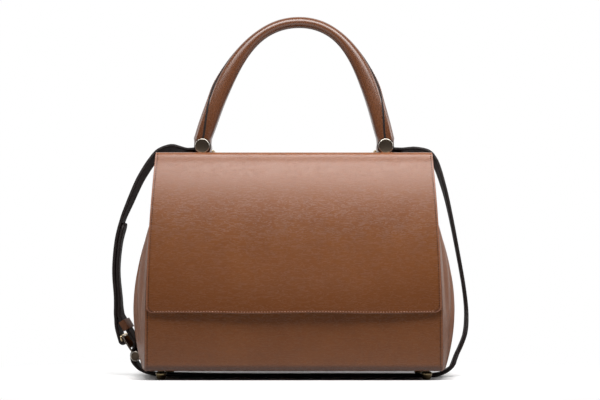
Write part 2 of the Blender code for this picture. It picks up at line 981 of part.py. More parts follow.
def lower_route(upper):
    reach = base_width / 2 + belly_reach
    half_top = flap_top_width / 2
    floor = strap_thickness / 2
    start, direction = keeper_axis()
    radius = clip_core_radius + clearance + strap_thickness / 2
    shoulder = [
        (ring_bar_x + 0.014, 0.0014, -0.18),
        (half_top - 0.012, 0.0019, -0.24),
        (half_top + 0.0022, -0.0012, -0.24),
        (half_top + 0.0098, -0.0098, -0.20),
        (half_top + 0.0142, -0.0199, -0.15),
    ]
    hanging = [
        (half_top + 0.0216, 0.814, -0.06),
        (reach + 0.0002, 0.700, 0.0),
        (reach + 0.0074, 0.530, 0.03),
        (reach + 0.0136, 0.364, 0.04),
        (reach + 0.0157, 0.243, 0.02),
    ]
    below = [
        (reach + 0.0122, clip_y / 2, base_z + 0.036, 0.0),
        (reach + 0.0030, clip_y / 3, base_z + 0.015, 0.0),
        (reach - 0.0045, 0.0, base_z + 0.0006, 0.0),
        (reach - 0.0140, 0.0, floor + 0.0026, 0.0),
        (reach - 0.0270, 0.0, floor, 0.0),
        (reach - 0.0400, 0.0, floor, 0.0),
        (0.060, 0.0, floor, 0.0),
        (-0.060, 0.0, floor, 0.0),
        (-(reach - 0.0500), clip_y * 0.8, floor, 0.0),
        (-(reach - 0.0380), clip_y, floor, 0.0),
        (-(reach - 0.0270), clip_y, floor, 0.0),
    ]
    rise = [
        (-(reach - 0.0165), clip_y, floor + 0.0018),
        (-(reach - 0.0060), clip_y, floor + 0.0066),
        (-(reach + 0.0012), clip_y, clip_z - 0.0074),
    ]
    around = fold_points(
        -clip_place(), clip_y, clip_z, radius, -1, clip_fold_start, clip_fold_end, clip_fold_steps
    )
    straight = []
    half = keeper_length / 2
    above = half + keeper_lift
    first = -keeper_lead - keeper_lead_step
    for station in (first, -keeper_lead, -half - keeper_drop, 0.0, above, above + keeper_run_out):
        place = start + direction * (keeper_station + station)
        straight.append((place.x, place.y, place.z, 0.0))
    turned = rise + around + straight
    shares = [0.2, 0.6, 0.9] + [1.0] * (len(around) + len(straight))
    route = ring_fold(1) + shoulder_points(1, shoulder) + hanging_points(1, hanging) + below
    return route + turned_points(turned, shares) + tail_points(upper)


def make_strap_ring(name, side):
    # A rectangular wire ring that lies level behind the top edge
    half_x = ring_length / 2 + ring_wire / 2
    half_y = ring_inner_width / 2 + ring_wire / 2
    path = []
    for corner, (sx, sy) in enumerate(((1, 1), (-1, 1), (-1, -1), (1, -1))):
        for step in range(bend_steps + 1):
            angle = math.pi / 2 * (corner + step / bend_steps)
            x = sx * (half_x - ring_corner) + ring_corner * math.cos(angle)
            y = sy * (half_y - ring_corner) + ring_corner * math.sin(angle)
            path.append(Vector((x, y, 0.0)))
    ring = add_object(name, wire_mesh(name, path, ring_wire / 2), brass_material, True)
    ring.location = (side * (ring_bar_x - half_x), ring_centre_y(), ring_z)
    return ring


def wire_mesh(name, path, radius, sides=10):
    # A closed wire along a flat path
    rings = []
    count = len(path)
    up = (path[1] - path[0]).cross(path[count // 2] - path[0]).normalized()
    for index, place in enumerate(path):
        tangent = (path[(index + 1) % count] - path[index - 1]).normalized()
        across = tangent.cross(up)
        ring = []
        for side in range(sides):
            angle = 2 * math.pi * (side + 0.5) / sides
            ring.append(place + across * (radius * math.cos(angle)) + up * (radius * math.sin(angle)))
        rings.append(ring)
    return loft_mesh(name, rings, True)


def make_tab(name, side):
    # A leather tab on the back wall, folded round the ring's front bar
    half_x = tab_width / 2
    bar_y = ring_bar_y()
    low = panel_top - tab_length
    gap = clearance + tab_thickness / 2
    path = [profile_point(low, gap)]
    path.append(profile_point(panel_top - tab_bend_drop, gap))
    inner = bar_y - tab_loop_radius
    path.append((inner, panel_top + tab_bend_rise))
    for step in range(fold_steps + 1):
        angle = math.pi - math.pi * step / fold_steps
        path.append((bar_y + tab_loop_radius * math.cos(angle), ring_z + tab_loop_radius * math.sin(angle)))
    outer_gap = gap + tab_thickness + clearance
    path.append((bar_y + tab_loop_radius, ring_z - tab_return_drop))
    path.append(profile_point(panel_top - tab_seam, outer_gap))
    path.append(profile_point(low, outer_gap))
    line = [Vector((y, z, 0.0)) for y, z in path]
    outer = []
    inner_row = []
    for index, place in enumerate(line):
        before = line[max(index - 1, 0)]
        after = line[min(index + 1, len(line) - 1)]
        tangent = (after - before).normalized()
        normal = Vector((-tangent.y, tangent.x, 0.0)) * (tab_thickness / 2)
        for row, sign in ((outer, 1), (inner_row, -1)):
            point = place + normal * sign
            row.append([(x, point.x, point.y) for x in (-half_x, half_x)])
    tab = add_object(name, sheet_mesh(name, outer, inner_row), leather_material, True)
    tab.location.x = side * (ring_bar_x - ring_length / 2 - ring_wire / 2)
    return tab


def make_strap_frame():
    # The two-bar wire frame that the upper strap folds round
    half_y = strap_width / 2 + frame_wire
    low = Vector((frame_bar(0.0)[0], 0.0, frame_bar(0.0)[1]))
    high = Vector((frame_bar(1.0)[0], 0.0, frame_bar(1.0)[1]))
    up = (high - low).normalized()
    side = Vector((0.0, 1.0, 0.0))
    radius = frame_wire
    path = []
    corners = ((high, 1), (high, -1), (low, -1), (low, 1))
    for index, (place, sign) in enumerate(corners):
        vertical = up if place is high else -up
        centre = place - vertical * radius + side * (sign * (half_y - radius))
        for step in range(bend_steps + 1):
            angle = math.pi / 2 * step / bend_steps
            if sign * (1 if place is high else -1) > 0:
                a, b = math.cos(angle), math.sin(angle)
            else:
                a, b = math.sin(angle), math.cos(angle)
            path.append(centre + side * (sign * radius * a) + vertical * (radius * b))
    frame = add_object(
        "strap_frame", wire_mesh("strap_frame", path, frame_wire / 2), brass_material, True
    )
    place_in_clip(frame, (0.0, clip_y, 0.0))
    return frame


def make_clip_barrel():
    length = strap_width + 2 * clip_cap_length + 4 * clearance
    profile = spool_profile(length, clip_cap_length, clip_cap_radius, clip_chamfer, clip_core_radius)
    barrel = turned_object("clip_barrel", profile, bronze_material)
    barrel.data.transform(Matrix.Rotation(math.pi / 2, 4, "X"))
    place_in_clip(barrel, (-clip_place(), clip_y, clip_z))
    return barrel


def make_clip_plate():
    # A forked metal plate from the barrel's caps up to the strap frame
    half = strap_width / 2 + clip_cap_length + 2 * clearance
    gap = strap_width / 2 + 2 * clearance
    low = clip_cap_radius + clearance
    fork = low + clip_fork_depth
    high = low + clip_plate_length
    outline = [
        (-half, low),
        (-gap, low),
        (-gap, fork),
        (gap, fork),
        (gap, low),
        (half, low),
        (half, fork),
        (strap_width / 2, high),
        (-strap_width / 2, high),
        (-half, fork),
    ]
    rings = []
    for x in (-clip_plate_thickness / 2, clip_plate_thickness / 2):
        rings.append([(x, y, z) for y, z in outline])
    plate = add_object("clip_plate", loft_mesh("clip_plate", rings), bronze_material)
    place_in_clip(plate, (-clip_place(), clip_y, clip_z))
    plate.rotation_euler = (0.0, -clip_lean, 0.0)
    return plate


def make_keeper():
    # A leather loop round the strap's tail
    inner_w = strap_width / 2 + clearance
    inner_t = strap_thickness / 2 + clearance
    outer_w = inner_w + keeper_wall
    outer_t = inner_t + keeper_wall
    half = keeper_length / 2
    rings = []
    for y, z in ((1, 1), (-1, 1), (-1, -1), (1, -1)):
        rings.append(
            [
                (z * outer_t, y * outer_w, -half),
                (z * outer_t, y * outer_w, half),
                (z * inner_t, y * inner_w, half),
                (z * inner_t, y * inner_w, -half),
            ]
        )
    keeper = add_object("strap_keeper", loft_mesh("strap_keeper", rings, True), leather_material)
    start, direction = keeper_axis()
    place_in_clip(keeper, start + direction * keeper_station)
    keeper.rotation_euler = (0.0, math.atan2(direction.x, direction.z), 0.0)
    return keeper


def build_body():
    make_wall("front_panel", True)
    make_wall("back_panel", False)
    make_gusset("left_gusset", -1)
    make_gusset("right_gusset", 1)
    base = make_plate("base_panel", base_z, leather, gusset_leather + clearance, leather_material)
    board_z = base_z + leather + clearance
    board = make_plate(
        "base_board", board_z, base_board_thickness, gusset_leather + clearance, board_material
    )
    drill_for_feet(base)
    drill_for_feet(board)
    make_lining()
    for side, x in (("left", -foot_spread_x), ("right", foot_spread_x)):
        for end, y in (("front", -foot_spread_y), ("rear", foot_spread_y)):
            make_foot("foot_" + end + "_" + side, x, y)
    offset = -leather - clearance - gusset_leather / 2
    for side, x in (("left", -magnet_spread), ("right", magnet_spread)):
        make_magnet("panel_magnet_" + side, x, offset, gusset_leather - clearance)


def build_lid(hinge, origin):
    pieces = []
    top = lid_top
    pieces.append(make_lid_layer("lid_leather", top, leather, 0.0, leather_material))
    top -= leather + clearance
    edge = 4 * clearance
    pieces.append(make_lid_layer("lid_board", top, lid_board_thickness, edge, board_material))
    top -= lid_board_thickness + clearance
    pieces.append(make_lid_layer("lid_lining", top, lining_thickness, edge, lining_material))
    drill_for_barrels(pieces[0])
    drill_for_barrels(pieces[1])
    for side, x in barrel_places():
        pieces.append(make_barrel("barrel_" + side, x))
        pieces.append(make_wrap("handle_wrap_" + side, x))
    pieces.append(make_handle())
    for piece in pieces:
        hang_on(piece, hinge, origin)


def build_flap(hinge, origin):
    outer = flap_stack
    leather_inner = flap_stack - leather
    pieces = [
        make_flap_layer("flap_leather", outer, leather_inner, 0.0, leather_material),
        make_flap_layer(
            "flap_lining",
            leather_inner - clearance,
            clearance,
            4 * clearance,
            lining_material,
        ),
    ]
    offset = clearance + lining_thickness / 2
    for side, x in (("left", -magnet_spread), ("right", magnet_spread)):
        tool = cylinder_cutter(
            "magnet_hole", magnet_radius + clearance, magnet_hole_depth, magnet_matrix(x, offset)
        )
        join_or_cut(pieces[1], tool, "DIFFERENCE")
    for side, x in (("left", -magnet_spread), ("right", magnet_spread)):
        pieces.append(make_magnet("flap_magnet_" + side, x, offset, lining_thickness))
    for piece in pieces:
        hang_on(piece, hinge, origin)


def build_strap():
    for side, sign in (("left", -1), ("right", 1)):
        make_strap_ring("strap_ring_" + side, sign)
        make_tab("strap_tab_" + side, sign)
    upper = smooth_route(upper_route(), route_step)
    add_object("strap_upper", ribbon_mesh("strap_upper", upper), dark_leather_material, True)
    lower = smooth_route(lower_route(upper), route_step)
    for place in lower:
        place.z = max(place.z, strap_thickness / 2)
    add_object("strap_lower", ribbon_mesh("strap_lower", lower), dark_leather_material, True)
    make_strap_frame()
    make_clip_barrel()
    make_clip_plate()
    make_keeper()


def build_bag():
    clear_scene()
    build_body()
    lid_origin = (0.0, lid_hinge_y, lid_top)
    lid_hinge = add_empty("lid_hinge", lid_origin)
    build_lid(lid_hinge, lid_origin)
    flap_origin = (0.0, flap_hinge_y, lid_top)
    flap_hinge = add_empty("flap_hinge", (0.0, flap_hinge_y - lid_hinge_y, 0.0), lid_hinge)
    build_flap(flap_hinge, flap_origin)
    build_strap()


build_bag()
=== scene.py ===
import math

import bpy
from mathutils import Matrix, Vector


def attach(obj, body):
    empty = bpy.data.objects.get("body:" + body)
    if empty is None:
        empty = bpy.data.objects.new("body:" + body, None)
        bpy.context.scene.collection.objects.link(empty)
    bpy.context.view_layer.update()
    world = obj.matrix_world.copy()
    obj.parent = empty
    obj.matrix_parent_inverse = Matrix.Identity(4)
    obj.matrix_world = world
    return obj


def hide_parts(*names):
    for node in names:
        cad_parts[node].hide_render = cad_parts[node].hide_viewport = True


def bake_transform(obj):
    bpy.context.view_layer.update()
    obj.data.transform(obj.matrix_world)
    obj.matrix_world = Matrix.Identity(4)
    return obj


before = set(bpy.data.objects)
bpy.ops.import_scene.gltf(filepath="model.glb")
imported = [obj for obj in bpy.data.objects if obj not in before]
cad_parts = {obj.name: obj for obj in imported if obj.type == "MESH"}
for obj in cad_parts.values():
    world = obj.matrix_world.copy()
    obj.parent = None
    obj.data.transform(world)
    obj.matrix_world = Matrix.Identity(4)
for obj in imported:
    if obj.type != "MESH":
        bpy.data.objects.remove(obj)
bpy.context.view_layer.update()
scene = bpy.context.scene

# Camera, light and stage

cameraLook = {
    "lens": 95.84, "sensor": 36, "clip": (0.05, 30), "place": (0.00475, -1.7965, 0.0952),
    "tiltUp": 3.280,      # degrees
    "turn": 0.062,
}
cameraTurn = (math.radians(90 + cameraLook["tiltUp"]), 0, -math.radians(cameraLook["turn"]))
bpy.ops.object.select_all(action="DESELECT")
bpy.ops.object.camera_add(location=cameraLook["place"], rotation=cameraTurn)
camera = bpy.context.object
camera.name = "camera"
camera.data.lens = cameraLook["lens"]
camera.data.sensor_width = cameraLook["sensor"]
camera.data.clip_start, camera.data.clip_end = cameraLook["clip"]
scene.camera = camera
scene.view_settings.view_transform = "Standard"

softboxes = {
    "key": {"place": (0.0, -0.515, 1.023), "aim": (0, -0.04, 0.20), "size": (1.3, 0.45), "power": 10.0},
    "near": {"place": (0.08, -0.265, 0.59), "aim": (0.08, -0.04, 0.2), "size": (0.56, 0.26), "power": 1.75},
    "left": {"place": (-0.85, 0.02, 0.55), "aim": (0, -0.04, 0.15), "size": (0.5, 0.5), "power": 2.4},
    "right": {"place": (0.85, 0.02, 0.55), "aim": (0, -0.04, 0.15), "size": (0.5, 0.5), "power": 3.2},
    "back": {"place": (0.0, 0.75, 1.25), "aim": (0, 0, 0.15), "size": (1.3, 0.6), "power": 0.7},
}
for name, box in softboxes.items():
    direction = Vector(box["aim"]) - Vector(box["place"])
    facing = direction.to_track_quat("-Z", "Y").to_euler()
    bpy.ops.object.light_add(type="AREA", location=box["place"], rotation=facing)
    lamp = bpy.context.object
    lamp.name = "softbox_" + name
    lamp.data.shape = "RECTANGLE"
    lamp.data.size, lamp.data.size_y = box["size"]
    lamp.data.energy = box["power"]


def makeNode(tree, kind, inputs=None, **options):
    # An input is another node's socket or a plain value, and a colour may leave out its alpha
    node = tree.nodes.new("ShaderNode" + kind)
    for key, value in options.items():
        setattr(node, key, value)
    for key, value in (inputs or {}).items():
        socket = node.inputs[key]
        if isinstance(value, bpy.types.NodeSocket):
            tree.links.new(value, socket)
        else:
            socket.default_value = (*value, 1) if socket.type == "RGBA" and len(value) == 3 else value
    return node


def calculate(tree, operation, *values):
    return makeNode(tree, "Math", dict(enumerate(values)), operation=operation).outputs[0]


def blendColours(tree, share, first, second):
    return makeNode(tree, "Mix", {"Factor": share, 6: first, 7: second}, data_type="RGBA").outputs[2]


def blendValues(tree, share, first, second):
    return makeNode(tree, "Mix", {"Factor": share, 2: first, 3: second}, data_type="FLOAT").outputs[0]


def remap(tree, value, low, high, newLow=0, newHigh=1):
    # Eased at both ends
    inputs = {"Value": value, "From Min": low, "From Max": high, "To Min": newLow, "To Max": newHigh}
    return makeNode(tree, "MapRange", inputs, interpolation_type="SMOOTHSTEP").outputs[0]


stageLook = {
    "ambient": 0.04,         # what the surroundings add to the light
    "room": (0.06, 1.0),     # what gloss reflects of the dim room in front and of the white backdrop behind
    "roomEdge": (0.05, 0.8),
    "floorSize": 8,
    "floorColour": (0.82, 0.82, 0.82),
    "floorGlow": 0.5,        # white that the camera adds near the bag, but not under it
    "footprint": (0.160, 0.079, 0.135),     # half width, front and back
    "footprintEdge": (0.003, 0.030, 0.018),
    "shadowReach": (0.16, 0.45),
}
white = (1, 1, 1)

world = bpy.data.worlds.new("studio")
scene.world = world
world.use_nodes = True
tree = world.node_tree
tree.nodes.clear()
rays = makeNode(tree, "LightPath").outputs
seen = calculate(tree, "MAXIMUM", rays["Is Camera Ray"], rays["Is Transmission Ray"])
direction = makeNode(tree, "TexCoord").outputs["Generated"]
depth = makeNode(tree, "SeparateXYZ", {"Vector": direction}).outputs["Y"]
room = remap(tree, depth, *stageLook["roomEdge"], *stageLook["room"])
strength = blendValues(tree, rays["Is Glossy Ray"], stageLook["ambient"], room)
strength = blendValues(tree, seen, strength, 1.0)
glow = makeNode(tree, "Background", {"Color": white, "Strength": strength})
makeNode(tree, "OutputWorld", {"Surface": glow.outputs[0]})

bpy.ops.mesh.primitive_plane_add(size=stageLook["floorSize"], location=(0, 0, 0))
floor = bpy.context.object
floor.name = "floor"
floorPaint = bpy.data.materials.new("paleFloor")
floorPaint.use_nodes = True
tree = floorPaint.node_tree
tree.nodes.clear()
rays = makeNode(tree, "LightPath").outputs
spot = makeNode(tree, "TexCoord").outputs["Object"]
axes = makeNode(tree, "SeparateXYZ", {"Vector": spot}).outputs
halfWide, front, behind = stageLook["footprint"]
sharp, soft, softBehind = stageLook["footprintEdge"]
aside = calculate(tree, "SUBTRACT", calculate(tree, "ABSOLUTE", axes["X"]), halfWide)
before = calculate(tree, "SUBTRACT", calculate(tree, "MULTIPLY", axes["Y"], -1.0), front)
beyond = calculate(tree, "SUBTRACT", axes["Y"], behind)
clear = calculate(tree, "MAXIMUM", remap(tree, aside, 0, soft), remap(tree, beyond, -softBehind, softBehind))
clear = calculate(tree, "MAXIMUM", remap(tree, before, -sharp, sharp), clear)
lift = calculate(tree, "MULTIPLY", clear, stageLook["floorGlow"])
matt = makeNode(tree, "BsdfDiffuse", {"Color": stageLook["floorColour"]}).outputs[0]
glow = makeNode(tree, "Emission", {"Color": white, "Strength": lift}).outputs[0]
near = makeNode(tree, "AddShader", {0: matt, 1: glow}).outputs[0]
far = makeNode(tree, "Emission", {"Color": white, "Strength": 1}).outputs[0]
reach = makeNode(tree, "VectorMath", {0: spot}, operation="LENGTH").outputs["Value"]
away = remap(tree, reach, *stageLook["shadowReach"])
whole = makeNode(tree, "MixShader", {0: away, 1: near, 2: far}).outputs[0]
shown = makeNode(tree, "MixShader", {0: rays["Is Camera Ray"], 1: matt, 2: whole}).outputs[0]
makeNode(tree, "OutputMaterial", {"Surface": shown})
floor.data.materials.append(floorPaint)
print("camera, softboxes and floor set")

# Working steps that the pieces share

bothSides = ((-1, "Left"), (1, "Right"))
farFromEdge = 0.05     # a distance from a cut edge at which it has no more effect on the leather
mergeWithin = {"seam": 0.000002, "cad": 0.00001}


def clearSelection():
    if bpy.context.object and bpy.context.object.mode != "OBJECT":
        bpy.ops.object.mode_set(mode="OBJECT")
    bpy.ops.object.select_all(action="DESELECT")


def pickOnly(piece):
    clearSelection()
    piece.select_set(True)
    bpy.context.view_layer.objects.active = piece


def editWhole(piece):
    pickOnly(piece)
    bpy.ops.object.mode_set(mode="EDIT")
    bpy.ops.mesh.select_all(action="SELECT")


def span(low, high, count):
    return [low + (high - low) * step / count for step in range(count)]


def sheetFrom(name, across, up, place, paint=None):
    # A grid primitive whose points are set by their stations
    # place gives a point and its distance from the cut edge
    columns, rows = len(across) - 1, len(up) - 1
    clearSelection()
    bpy.ops.mesh.primitive_grid_add(x_subdivisions=columns, y_subdivisions=rows, size=2)
    piece = bpy.context.object
    piece.name = piece.data.name = name
    if paint:
        for face in piece.data.polygons:
            column = int((face.center.x + 1) / 2 * columns)
            row = int((face.center.y + 1) / 2 * rows)
            middle = ((across[column] + across[column + 1]) / 2, (up[row] + up[row + 1]) / 2)
            face.material_index = paint(*middle)
    rim = piece.data.attributes.new("rim", "FLOAT", "POINT")
    for vertex in piece.data.vertices:
        column = round((vertex.co.x + 1) / 2 * columns)
        row = round((vertex.co.y + 1) / 2 * rows)
        point, distance = place(across[column], up[row])
        vertex.co = point
        rim.data[vertex.index].value = distance
    return piece


def closeSeam(piece, capped=False, inside=False):
    # Joins the edges of a sheet that has been wrapped round, and closes its ends
    editWhole(piece)
    bpy.ops.mesh.remove_doubles(threshold=mergeWithin["seam"])
    if capped:
        bpy.ops.mesh.fill_holes(sides=0)
    bpy.ops.mesh.normals_make_consistent(inside=inside)
    bpy.ops.object.mode_set(mode="OBJECT")


def useModifier(piece, kind, **settings):
    pickOnly(piece)
    change = piece.modifiers.new(kind.lower(), kind)
    for key, value in settings.items():
        setattr(change, key, value)
    bpy.ops.object.modifier_apply(modifier=change.name)


def softenEdges(piece, width, angle=50, slot=-1):
    useModifier(
        piece, "BEVEL", width=width, segments=3, limit_method="ANGLE",
        angle_limit=math.radians(angle), material=slot,
    )


def smoothFaces(piece, angle=40):
    pickOnly(piece)
    bpy.ops.object.shade_smooth_by_angle(angle=math.radians(angle))


def giveMaterials(piece, *materials):
    # Clearing the slots would forget which faces were painted, so it is only done where there are some
    if piece.data.materials:
        piece.data.materials.clear()
    for material in materials:
        piece.data.materials.append(material)


def finishSheet(piece, thickness, rounding, face, edge, back):
    # Gives a sheet its wall behind its face; the cut edge and the inner side have materials of their own
    giveMaterials(piece, face, edge, back)
    useModifier(
        piece, "SOLIDIFY", thickness=thickness, offset=-1, use_even_offset=True,
        material_offset=2, material_offset_rim=1,
    )
    softenEdges(piece, rounding)
    smoothFaces(piece)


def settle(piece, body, slotName, *nodes):
    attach(piece, body)
    if nodes:
        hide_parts(*nodes)


def mergedCopy(node, name):
    # A copy of a CAD node with its loose triangles joined into clean faces
    clearSelection()
    piece = bpy.data.objects.new(name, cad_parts[node].data.copy())
    scene.collection.objects.link(piece)
    piece.data.materials.clear()
    editWhole(piece)
    bpy.ops.mesh.remove_doubles(threshold=mergeWithin["cad"])
    bpy.ops.mesh.tris_convert_to_quads(face_threshold=math.radians(30), shape_threshold=math.radians(40))
    bpy.ops.object.mode_set(mode="OBJECT")
    return piece


def surfacePoint(place, a, b, step=0.0004):
    # A point of a sheet and the direction away from it
    point = Vector(place(a, b)[0])
    along = Vector(place(a + step, b)[0]) - Vector(place(a - step, b)[0])
    rise = Vector(place(a, b + step)[0]) - Vector(place(a, b - step)[0])
    return point, along.cross(rise).normalized()


stitchLook = {"length": 0.0018, "radius": 0.00034, "pitch": 0.0026, "sink": 0.00004}


def stitchPlaces(line, pitch):
    # Evenly spaced along a line of points, each of which has a direction away from the leather
    lengths = [0.0]
    for before, after in zip(line, line[1:]):
        lengths.append(lengths[-1] + (after[0] - before[0]).length)
    count = max(1, round(lengths[-1] / pitch))
    places = []
    index = 0
    for stitch in range(count):
        station = lengths[-1] * (stitch + 0.5) / count
        while index < len(line) - 2 and lengths[index + 1] < station:
            index += 1
        share = (station - lengths[index]) / max(lengths[index + 1] - lengths[index], 1e-9)
        along = (line[index + 1][0] - line[index][0]).normalized()
        up = line[index][1].lerp(line[index + 1][1], share)
        up = (up - along * up.dot(along)).normalized()
        spot = line[index][0].lerp(line[index + 1][0], share) - up * stitchLook["sink"]
        turn = Matrix((along, up.cross(along), up)).transposed().to_4x4()
        places.append(Matrix.Translation(spot) @ turn)
    return places


def sewLine(name, line, material, pitch=stitchLook["pitch"], radius=stitchLook["radius"]):
    # Models one stitch and copies it along the line
    clearSelection()
    bpy.ops.mesh.primitive_uv_sphere_add(segments=6, ring_count=4, radius=1)
    first = bpy.context.object
    first.name = name
    for vertex in first.data.vertices:
        x, y, z = vertex.co
        vertex.co = (z * stitchLook["length"] / 2, x * radius, y * radius)
    editWhole(first)
    bpy.ops.mesh.normals_make_consistent(inside=False)
    bpy.ops.object.mode_set(mode="OBJECT")
    places = stitchPlaces(line, pitch)
    copies = []
    for place in places[1:]:
        stitch = bpy.data.objects.new(name, first.data.copy())
        scene.collection.objects.link(stitch)
        stitch.data.transform(place)
        copies.append(stitch)
    first.data.transform(places[0])
    pickOnly(first)
    for stitch in copies:
        stitch.select_set(True)
    if copies:
        bpy.ops.object.join()
    first.name = name
    giveMaterials(first, material)
    smoothFaces(first, 80)
    return first


# Leather, thread and metal


def startGroup(name, inputs, outputs):
    group = bpy.data.node_groups.new(name, "ShaderNodeTree")
    for label, kind, value in inputs:
        socket = group.interface.new_socket(name=label, in_out="INPUT", socket_type="NodeSocket" + kind)
        if value is not None:
            socket.default_value = value
    for label, kind in outputs:
        group.interface.new_socket(name=label, in_out="OUTPUT", socket_type="NodeSocket" + kind)
    return group, group.nodes.new("NodeGroupInput").outputs, group.nodes.new("NodeGroupOutput").inputs


def noise(tree, vector, scale, detail, roughness=0.5, distortion=0.0):
    inputs = {
        "Vector": vector, "Scale": scale, "Detail": detail, "Roughness": roughness, "Distortion": distortion,
    }
    return makeNode(tree, "TexNoise", inputs).outputs["Fac"]


grainLook = {
    "pebbleEdge": (0.1, 0.75), "pebbles": 0.45, "distortion": 1.1, "creaseWidth": 0.04, "creases": 0.9,
}
toneLook = {
    "warmScale": 22, "warm": (0.38, 0.68, 0, 0.55), "deepScale": 190, "deep": (0.42, 0.72, 0, 0.3),
    "roughness": 0.6, "lines": 0.18,
}
edgeLook = {"grooveWidth": 0.0010, "band": 0.0024}


def makeGrainGroup():
    # Pebbles and long creases of full grain leather, as a height and a crease mask
    group, given, made = startGroup(
        "leatherGrain",
        [("Vector", "Vector", None), ("Stretch", "Vector", None), ("Pebble", "Float", None),
         ("Crease", "Float", None)],
        [("Height", "Float"), ("Creases", "Float")],
    )
    pebbles = makeNode(group, "TexVoronoi", {"Vector": given["Vector"], "Scale": given["Pebble"]})
    rounded = remap(group, pebbles.outputs["Distance"], *grainLook["pebbleEdge"], 1, 0)
    stretched = makeNode(group, "VectorMath", {0: given["Vector"], 1: given["Stretch"]}, operation="MULTIPLY")
    waves = noise(group, stretched.outputs[0], given["Crease"], 3, 0.5, grainLook["distortion"])
    ridge = calculate(group, "ABSOLUTE", calculate(group, "SUBTRACT", waves, 0.5))
    creases = remap(group, ridge, 0, grainLook["creaseWidth"], 1, 0)
    raised = calculate(group, "MULTIPLY", rounded, grainLook["pebbles"])
    height = calculate(group, "SUBTRACT", raised, calculate(group, "MULTIPLY", creases, grainLook["creases"]))
    group.links.new(creases, made["Creases"])
    group.links.new(height, made["Height"])
    return group


def makeToneGroup():
    # Slow changes of colour over a hide, darker in its creases
    group, given, made = startGroup(
        "leatherTone",
        [("Vector", "Vector", None), ("Creases", "Float", 0), ("Middle", "Color", None),
         ("Warm", "Color", None), ("Deep", "Color", None)],
        [("Colour", "Color")],
    )
    s = toneLook
    warm = remap(group, noise(group, given["Vector"], s["warmScale"], 3, s["roughness"]), *s["warm"])
    deep = remap(group, noise(group, given["Vector"], s["deepScale"], 3, s["roughness"]), *s["deep"])
    colour = blendColours(group, warm, given["Middle"], given["Warm"])
    colour = blendColours(group, deep, colour, given["Deep"])
    lines = calculate(group, "MULTIPLY", given["Creases"], s["lines"])
    group.links.new(blendColours(group, lines, colour, given["Deep"]), made["Colour"])
    return group


def makeEdgeGroup():
    # The pressed line that stitches lie in, and the band of leather close to its cut edge
    group, given, made = startGroup(
        "stitchedEdge",
        [("Distance", "Float", None), ("Line", "Float", None)],
        [("Groove", "Float"), ("Edge", "Float")],
    )
    offset = calculate(group, "SUBTRACT", given["Distance"], given["Line"])
    spread = calculate(group, "ABSOLUTE", calculate(group, "DIVIDE", offset, edgeLook["grooveWidth"]))
    group.links.new(remap(group, spread, 0, 1, 1, 0), made["Groove"])
    group.links.new(remap(group, given["Distance"], 0, edgeLook["band"], 1, 0), made["Edge"])
    return group


grainGroup = makeGrainGroup()
toneGroup = makeToneGroup()
edgeGroup = makeEdgeGroup()


def startMaterial(name, **shaderValues):
    material = bpy.data.materials.new(name)
    material.use_nodes = True
    tree = material.node_tree
    shader = tree.nodes["Principled BSDF"]
    for key, value in shaderValues.items():
        shader.inputs[key.replace("_", " ")].default_value = value
    return material, tree, shader, makeNode(tree, "TexCoord").outputs["Object"]


def finishMaterial(tree, shader, colour, height, strength, distance, rough=None):
    tree.links.new(colour, shader.inputs["Base Color"])
    if rough is not None:
        tree.links.new(rough, shader.inputs["Roughness"])
    bump = makeNode(tree, "Bump", {"Height": height, "Strength": strength, "Distance": distance})
    tree.links.new(bump.outputs[0], shader.inputs["Normal"])


grooveColour = (0.030, 0.009, 0.006)
bumpDepth = {     # strength and distance, the leathers' strength being in their own settings
    "leather": 0.00012, "paint": (0.3, 0.0002), "thread": (0.4, 0.0001), "suede": (0.5, 0.0003),
    "metal": (0.2, 0.00005), "board": (0.3, 0.0003),
}


def makeLeather(name, look):
    material, tree, shader, spot = startMaterial(name, IOR=1.47, Specular_IOR_Level=look["gloss"])
    grain = makeNode(tree, "Group", {
        "Vector": spot, "Stretch": look["stretch"], "Pebble": look["pebble"], "Crease": look["crease"],
    }, node_tree=grainGroup).outputs
    tone = makeNode(tree, "Group", {
        "Vector": spot, "Creases": grain["Creases"],
        "Middle": look["middle"], "Warm": look["warm"], "Deep": look["deep"],
    }, node_tree=toneGroup).outputs
    rim = makeNode(tree, "Attribute", attribute_name="rim").outputs["Fac"]
    edge = makeNode(tree, "Group", {"Distance": rim, "Line": look["line"]}, node_tree=edgeGroup).outputs
    colour = tone["Colour"]
    up = makeNode(tree, "SeparateXYZ", {"Vector": spot}).outputs["Z"]
    # Bands of painted light and shade by height
    for low, high, change in look["paintedLightBands"]:
        colour = blendColours(tree, remap(tree, up, low, high), colour, change)
    rimShare = calculate(tree, "MULTIPLY", edge["Edge"], look["edgeDark"])
    colour = blendColours(tree, rimShare, colour, look["edge"])
    sunk = calculate(tree, "MULTIPLY", edge["Groove"], look["grooveDark"])
    colour = blendColours(tree, sunk, colour, grooveColour)
    rough = blendValues(tree, grain["Creases"], look["roughness"], look["roughness"] + 0.06)
    pressed = calculate(tree, "MULTIPLY", edge["Groove"], look["press"])
    height = calculate(tree, "SUBTRACT", grain["Height"], pressed)
    finishMaterial(tree, shader, colour, height, look["bump"], bumpDepth["leather"], rough)
    return material


